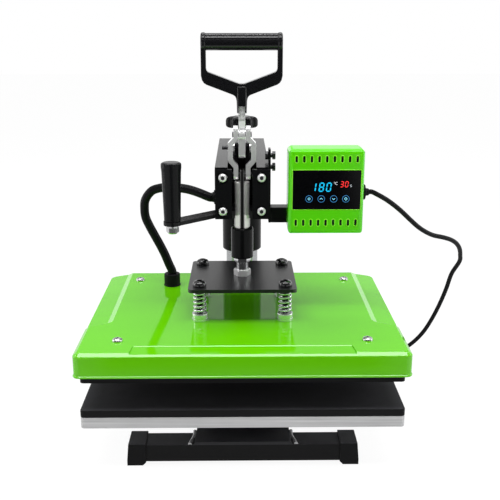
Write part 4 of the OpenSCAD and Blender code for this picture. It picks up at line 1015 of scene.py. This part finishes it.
class PRESS_OT_lever(bpy.types.Operator):
    """Make the lever with its handle, the links, the pivot block and the pressure knob."""

    bl_idname = "press.lever"
    bl_label = "Lever and knob"

    def execute(self, context):
        dress("lever", "satin", 0.0016, 3)
        dress("links", "satin", 0.0013, 3)
        dress("pivot_block", "gloss_black", 0.0008)
        dress("pivot_spacers", "satin", 0.0004)
        for node in ("pivot_bolt", "upper_pin", "lower_pin", "handle_screws"):
            dress(node, "dark_steel", 0.0004)
        self.handle()
        self.knob()
        self.screw()
        return {"FINISHED"}

    def handle(self):
        top, y, x1, bar_r = 507, -38, 50, 10.3
        bar_z, stem_z, stem_top = top - bar_r, top - 96, top - 66
        outer = [
            (6, stem_z), (6.5, stem_top - 15), (7.2, stem_top - 11.4), (8.5, stem_top - 9.2),
            (10.8, stem_top - 7.6), (x1 - 6.6, stem_top + 4.7), (x1 - 3.6, stem_top + 6.7),
            (x1 - 1.3, stem_top + 10), (x1, stem_top + 15.5), (x1, bar_z + 1), (x1 - 0.6, bar_z + 2.4),
            (x1 - 2, bar_z + 3)]
        inner = [
            (x1 - 6.5, bar_z), (x1 - 6.5, stem_top + 24.4), (x1 - 7.1, stem_top + 22),
            (x1 - 8.6, stem_top + 20.1), (6, stem_top + 7), (2.5, stem_top + 5.9)]
        outer, inner = (half + [(-x, z) for x, z in reversed(half)] for half in (outer, inner))
        frame_part = plate("handle_frame", outer, y - 7.5, y + 7.5)
        cut(frame_part, plate("handle_gap", inner, y - 20, y + 20))
        soften(frame_part, 0.0022, 4, 25, 40)
        stem = soften(block("handle_stem", (-6, y - 9.5, stem_z), (6, y + 9.5, stem_top + 3)), 0.0018, 3)
        cut(frame_part, stem, operation="UNION")
        bar = turned("handle_bar", [(bar_r, 0), (bar_r, 2 * (x1 - 6))], (6 - x1, y, bar_z), "X", 64)
        cut(frame_part, bar, operation="UNION")
        ear = [(8.4, 0), (9.9, 0.4), (10.8, 1.2), (11.1, 2.3), (11.1, 4.2), (10.8, 5.3), (9.9, 6.1),
               (8.4, 6.5)]
        for x in (-x1, x1 - 6.5):
            cut(frame_part, turned("handle_ear", ear, (x, y, bar_z), "X", 64), operation="UNION")
        slot = block("lever_slot", (-4.25, y - 7.05, stem_z - 2), (4.25, y + 7.05, stem_z + 25.05))
        fork = block("stem_fork", (-4.25, y - 14, stem_z - 2), (4.25, y, stem_z + 8.7))
        cut(frame_part, slot, fork)
        settle(smooth(frame_part, 35), "handle_plastic", "lever_handle")
        frame_part.name = "handle_moulding"

    def knob(self):
        lobes = sizes().lobes
        ring = [(math.cos(t), math.sin(t), 18.4 + 2.5 * math.cos(lobes * t)) for t in
                (2 * math.pi * k / 96 for k in range(96))]
        levels = ((0.80, 0), (0.88, 0.4), (0.97, 1.8), (1.0, 3.6), (1.0, 9.4), (0.96, 11.8), (0.86, 13.5),
                  (0.70, 14.5), (0.45, 14.9), (0.1, 15))
        rings = [[(r * c * s, KNOB_Y + r * d * s, KNOB_Z + h) for c, d, r in ring] for s, h in levels]
        settle(smooth(lofted("knob_moulding", rings), 40), "knob_plastic", "pressure_knob")

    def screw(self):
        low, high = (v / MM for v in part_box("pressure_screw"))
        steps = [(8.0, 0), (8.0, 5.4), (7.4, 6), (5, 6.1)]
        seat = KNOB_Z - low.z
        thread_from, thread_to, pitch = 30, 93, 1.5
        for k in range(int((thread_to - thread_from) / pitch)):
            z = thread_from + pitch * k
            steps += [(5, z), (4.45, z + pitch / 2)]
        steps += [(5, thread_to), (5, seat - 6.2), (7.1, seat - 6), (7.5, seat - 5.4), (7.5, seat - 0.7),
                  (7.1, seat - 0.1), (5, seat), (5, high.z - low.z)]
        spindle = turned("pressure_spindle", steps, (0, KNOB_Y, low.z), "Z", 40)
        settle(smooth(spindle, 50), "zinc", "pressure_screw")


# Ram and springs

STUD_X, STUD_Y = 54, 47
SPRING_LOW, SPRING_HIGH, SPRING_R = 165.4, 195.7, 7


class PRESS_OT_ram(bpy.types.Operator):
    """Make the chrome ram, its barrel and nuts, the spring plate, studs and springs."""

    bl_idname = "press.ram"
    bl_label = "Ram and springs"

    def execute(self, context):
        dress("ram_shaft", "shaft", 0.0006, 3)
        barrel = [(12.6, 0), (13.6, 0.25), (14.1, 0.9), (14.25, 1.6), (14.25, 37.8), (14.05, 38.7),
                  (13.5, 39.6), (12.8, 40), (10.2, 40), (10.2, 38)]
        barrel = turned("barrel_sleeve", barrel, (0, COVER_Y, 225), "Z", 72)
        settle(smooth(barrel, 30), "deep_black", "ram_barrel")
        dress("ram_stud", "chrome", 0.0007, 3)
        dress("lock_nut", "satin", 0.0007, 3)
        dress("spring_plate", "plate_black", 0.0009, 3)
        self.studs()
        self.springs()
        return {"FINISHED"}

    def studs(self):
        rod_z, head_z = 123.5, 200.72
        head = [(4, -0.1), (8.2, 0), (8.5, 0.5), (8.5, 2.6), (8.1, 4.2), (7.0, 5.7), (5.2, 6.7), (3.7, 7),
                (3.6, 7), (3.6, 4), (0.2, 3.9)]
        rod = [(3.95, 0), (3.95, 77.3)]
        collar = [(4.1, 0), (9.6, 0), (10, 0.5), (10, 3.1), (9.4, 3.5), (9.4, 4.1), (10, 4.5), (10, 8.9),
                  (9.6, 9.7), (8.9, 10), (4.1, 10)]
        for k, (sx, sy) in enumerate(((1, -1), (-1, -1), (-1, 1), (1, 1))):
            x, y = sx * STUD_X, COVER_Y + sy * STUD_Y
            parts = [smooth(turned("stud_head", head, (x, y, head_z), "Z", 40), 30),
                     turned("stud_rod", rod, (x, y, rod_z), "Z", 32)]
            settle(joined(parts, "stud_%d" % (k + 1)), "bolt_black", "studs")
            ring = smooth(turned("spring_collar_%d" % (k + 1), collar, (x, y, COVER_TOP), "Z", 48), 30)
            settle(ring, "nut_chrome", "stud_collars")

    def springs(self):
        turns, wire = sizes().spring_turns, sizes().wire / MM
        low = SPRING_LOW + wire / 2
        end, room = wire + 0.5, SPRING_HIGH - wire / 2 - low
        lift = (room - 2 * end) / (turns - 2)
        path = []
        for i in range(int(turns * 28) + 1):
            t = i / 28
            z = end * t if t < 1 else end + lift * (t - 1) if t < turns - 1 else room - end * (turns - t)
            a = 2 * math.pi * t
            x, y = STUD_X + SPRING_R * math.cos(a), COVER_Y - STUD_Y + SPRING_R * math.sin(a)
            path.append((x, y, low + z))
        for piece in four(tube("spring_1", path, wire / 2, 12), 2 * STUD_X, 2 * STUD_Y):
            settle(piece, "spring_steel", "springs")
            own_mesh(piece)


# Control box

SEGMENTS = {"a": (0, 1, 1, 1), "b": (1, 1, 1, 0.5), "c": (1, 0.5, 1, 0), "d": (0, 0, 1, 0),
            "e": (0, 0.5, 0, 0), "f": (0, 1, 0, 0.5), "g": (0, 0.5, 1, 0.5)}
DIGITS = {"0": "abcdef", "1": "bc", "3": "abcdg", "8": "abcdefg"}
SIGN_NEAR, SIGN_FAR = -74.57, -74.25


class PRESS_OT_control_box(bpy.types.Operator):
    """Make the control box with its vents, its touch panel and its lit signs."""

    bl_idname = "press.control_box"
    bl_label = "Control box"

    def execute(self, context):
        dress("box_shell", "box_green", 0.0004, 2, 40)
        dress("box_back", "box_green", 0.0005)
        dress("display_panel", "panel", 0.0005)
        dress("box_bracket", "gloss_black", 0.0006)
        dress("box_tube", "gloss_black", 0.0012, 3)
        dress("bracket_bolts", "dark_steel", 0.0004)
        dress("box_screws", "zinc", 0.0003)
        paint(frame["nodes"]["control_board"], "board")
        self.vents()
        self.signs()
        return {"FINISHED"}

    def vents(self):
        """Dark sheets behind the two rows of vents as painted shade, and a raised lip round each vent and
        round the panel, painted a paler green as a painted highlight.
        """
        low, high = (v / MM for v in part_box("box_shell"))
        glass_low, glass_high = (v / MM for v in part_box("display_panel"))
        shade_sheets, lips = [], []
        count, pitch, vent_r, vent_half = 9, 9.33, 1.4, 2.6
        for z in (low.z + 14.7, low.z + 94.4):
            # painted shade: a black sheet just inside each row of vents
            shade_sheets.append(block(
                "screen", (low.x + 5, low.y + 0.7, z - 5.2), (high.x - 5, low.y + 1.4, z + 5.2)))
            for k in range(count):
                x = (low.x + high.x) / 2 + (k - (count - 1) / 2) * pitch
                lips.append(self.lip(low.y, 1.3, lambda out: arc(x, z + vent_half, vent_r + out, 0, 180, 8)
                                     + arc(x, z - vent_half, vent_r + out, 180, 360, 8)))
        middle, half = (glass_low + glass_high) / 2, (glass_high - glass_low) / 2
        lips.append(self.lip(low.y, 1.2, lambda out: rounded(
            middle.x, middle.z, half.x + out, half.z + out, 0.6 + out, 6)))
        settle(joined(shade_sheets, "vent_screens"), "black_plastic", body="head")
        settle(joined(lips, "box_lips"), "lip_green", body="head")

    def lip(self, y, wide, outline):
        """A rounded rim on the box's front, along an outline that can be drawn wider."""
        rows = ((0.02, 0.05), (0.12, -0.25), (0.45, -0.38), (0.8, -0.25), (1.0, 0.05))
        rings = [[(x, y + lift, z) for x, z in outline(out * wide)] for out, lift in rows]
        return smooth(lofted("lip", rings, True), 60)

    def digit(self, mark, x, z, w, h, bar):
        """The lit bars of one leaning digit."""
        lean = 0.14
        found = []
        for key in DIGITS[mark]:
            x0, z0, x1, z1 = SEGMENTS[key]
            a = Vector((x + x0 * w + z0 * h * lean, z + z0 * h))
            b = Vector((x + x1 * w + z1 * h * lean, z + z1 * h))
            way = (b - a).normalized()
            across = Vector((-way.y, way.x)) * bar / 2
            a, b = a + way * bar * 0.18, b - way * bar * 0.18
            tip = way * bar / 2
            outline = [a, a + tip + across, b - tip + across, b, b - tip - across, a + tip - across]
            found.append(plate("bar", outline, SIGN_NEAR, SIGN_FAR))
        return found

    def signs(self):
        for name, finish, (z, w, h, bar), marks in (
                ("temperature_digits", "digits", (318.9, 4.9, 10.2, 1.45),
                 (("1", 84.9), ("8", 94.7), ("0", 103.7))),
                ("timer_digits", "timer", (324.2, 3.3, 6.7, 0.95), (("3", 120.9), ("0", 126.8)))):
            bars = [piece for mark, x in marks for piece in self.digit(mark, x, z, w, h, bar)]
            settle(joined(bars, name), finish, body="head")
        wave = [(0.9, 1.2), (-0.8, 1.0), (-0.6, 0), (0.7, -0.2), (0.8, -1.2), (-0.9, -1.3)]
        units = [self.hoop(113.9, 329.6, 0.75, 0.35), self.hoop(116.4, 328.6, 1.6, 0.5, 50, 310),
                 *self.strokes(134.1, 325.6, wave, 0.4)]
        settle(joined(units, "unit_signs"), "units", body="head")
        row, keys = 309.2, (82.7, 97.8, 113.2, 128.3)
        settle(joined([self.hoop(x, row, 4.2, 0.45) for x in keys], "touch_rings"), "rings", body="head")
        chevron = [(-1.7, -0.7), (0, 1.1), (1.7, -0.7)]
        diamond = [(0, 1.8), (1.8, 0), (0, -1.8), (-1.8, 0), (0, 1.8)]
        icons = [self.hoop(keys[0], row, 1.3, 0.55), *self.strokes(keys[1], row, chevron, 0.6),
                 *self.strokes(keys[2], row, [(x, -z) for x, z in chevron], 0.6),
                 *self.strokes(keys[3], row, diamond, 0.55)]
        settle(joined(icons, "touch_icons"), "icons", body="head")

    def hoop(self, x, z, r, wide, start=0, end=360):
        """A lit ring, or a part of one."""
        outer, inner = (arc(x, z, r + half, start, end, 40) for half in (wide / 2, -wide / 2))
        sections = [[(o[0], SIGN_NEAR, o[1]), (o[0], SIGN_FAR, o[1]), (i[0], SIGN_FAR, i[1]),
                     (i[0], SIGN_NEAR, i[1])] for o, i in zip(outer, inner)]
        whole = end - start == 360
        return lofted("hoop", sections[:-1] if whole else sections, whole)

    def strokes(self, x, z, points, wide):
        """Lit strokes from point to point round a place."""
        points = [Vector((x + px, z + pz)) for px, pz in points]
        found = []
        for a, b in zip(points, points[1:]):
            way = (b - a).normalized()
            across = Vector((-way.y, way.x)) * wide / 2
            outline = [a + across, b + across, b - across, a - across]
            found.append(plate("stroke", outline, SIGN_NEAR, SIGN_FAR))
        return found


# Swing handle

class PRESS_OT_swing_handle(bpy.types.Operator):
    """Make the upright grip that swings the head, with its bar and nut."""

    bl_idname = "press.swing_handle"
    bl_label = "Swing handle"

    def execute(self, context):
        grip = [(9.2, 0), (10.1, 0.3), (10.4, 1.2), (10.5, 4), (11.3, 34), (12.1, 62), (12.4, 65.2),
                (12.7, 67.4), (12.7, 71.6), (12.3, 72.7), (10.7, 73.7), (9.9, 74)]
        grip = turned("swing_grip_moulding", grip, (-87, -72, 281), "Z", 64)
        settle(smooth(grip, 35), "knob_plastic", "swing_grip")
        dress("swing_bar", "gloss_black", 0.0009, 3)
        dress("swing_grip_bolt", "zinc", 0.0005)
        dress("swing_bar_screws", "zinc", 0.0003)
        return {"FINISHED"}


class PRESS_PT_panel(bpy.types.Panel):
    """Sizes, colours and pieces of the press."""

    bl_label = "Heat Press"
    bl_idname = "PRESS_PT_panel"
    bl_space_type = "VIEW_3D"
    bl_region_type = "UI"
    bl_category = "Press"

    def draw(self, context):
        for group in (context.scene.press_colours, context.scene.press_sizes):
            box = self.layout.box()
            for key in group.bl_rna.properties.keys():
                if key not in ("rna_type", "name"):
                    box.prop(group, key)
        for step in STEPS:
            self.layout.operator(step.bl_idname)


STEPS = (PRESS_OT_finishes, PRESS_OT_stage, PRESS_OT_cords, PRESS_OT_cover, PRESS_OT_platens, PRESS_OT_base,
         PRESS_OT_arm, PRESS_OT_lever, PRESS_OT_ram, PRESS_OT_control_box, PRESS_OT_swing_handle)
CLASSES = (PressColours, PressSizes, *STEPS, PRESS_PT_panel)


def register():
    for cls in CLASSES:
        bpy.utils.register_class(cls)
    bpy.types.Scene.press_colours = PointerProperty(type=PressColours)
    bpy.types.Scene.press_sizes = PointerProperty(type=PressSizes)


def unregister():
    del bpy.types.Scene.press_sizes
    del bpy.types.Scene.press_colours
    for cls in reversed(CLASSES):
        bpy.utils.unregister_class(cls)


def main():
    register()
    for step in STEPS:
        group, name = step.bl_idname.split(".")
        getattr(getattr(bpy.ops, group), name)()


if __name__ == "__main__":
    main()
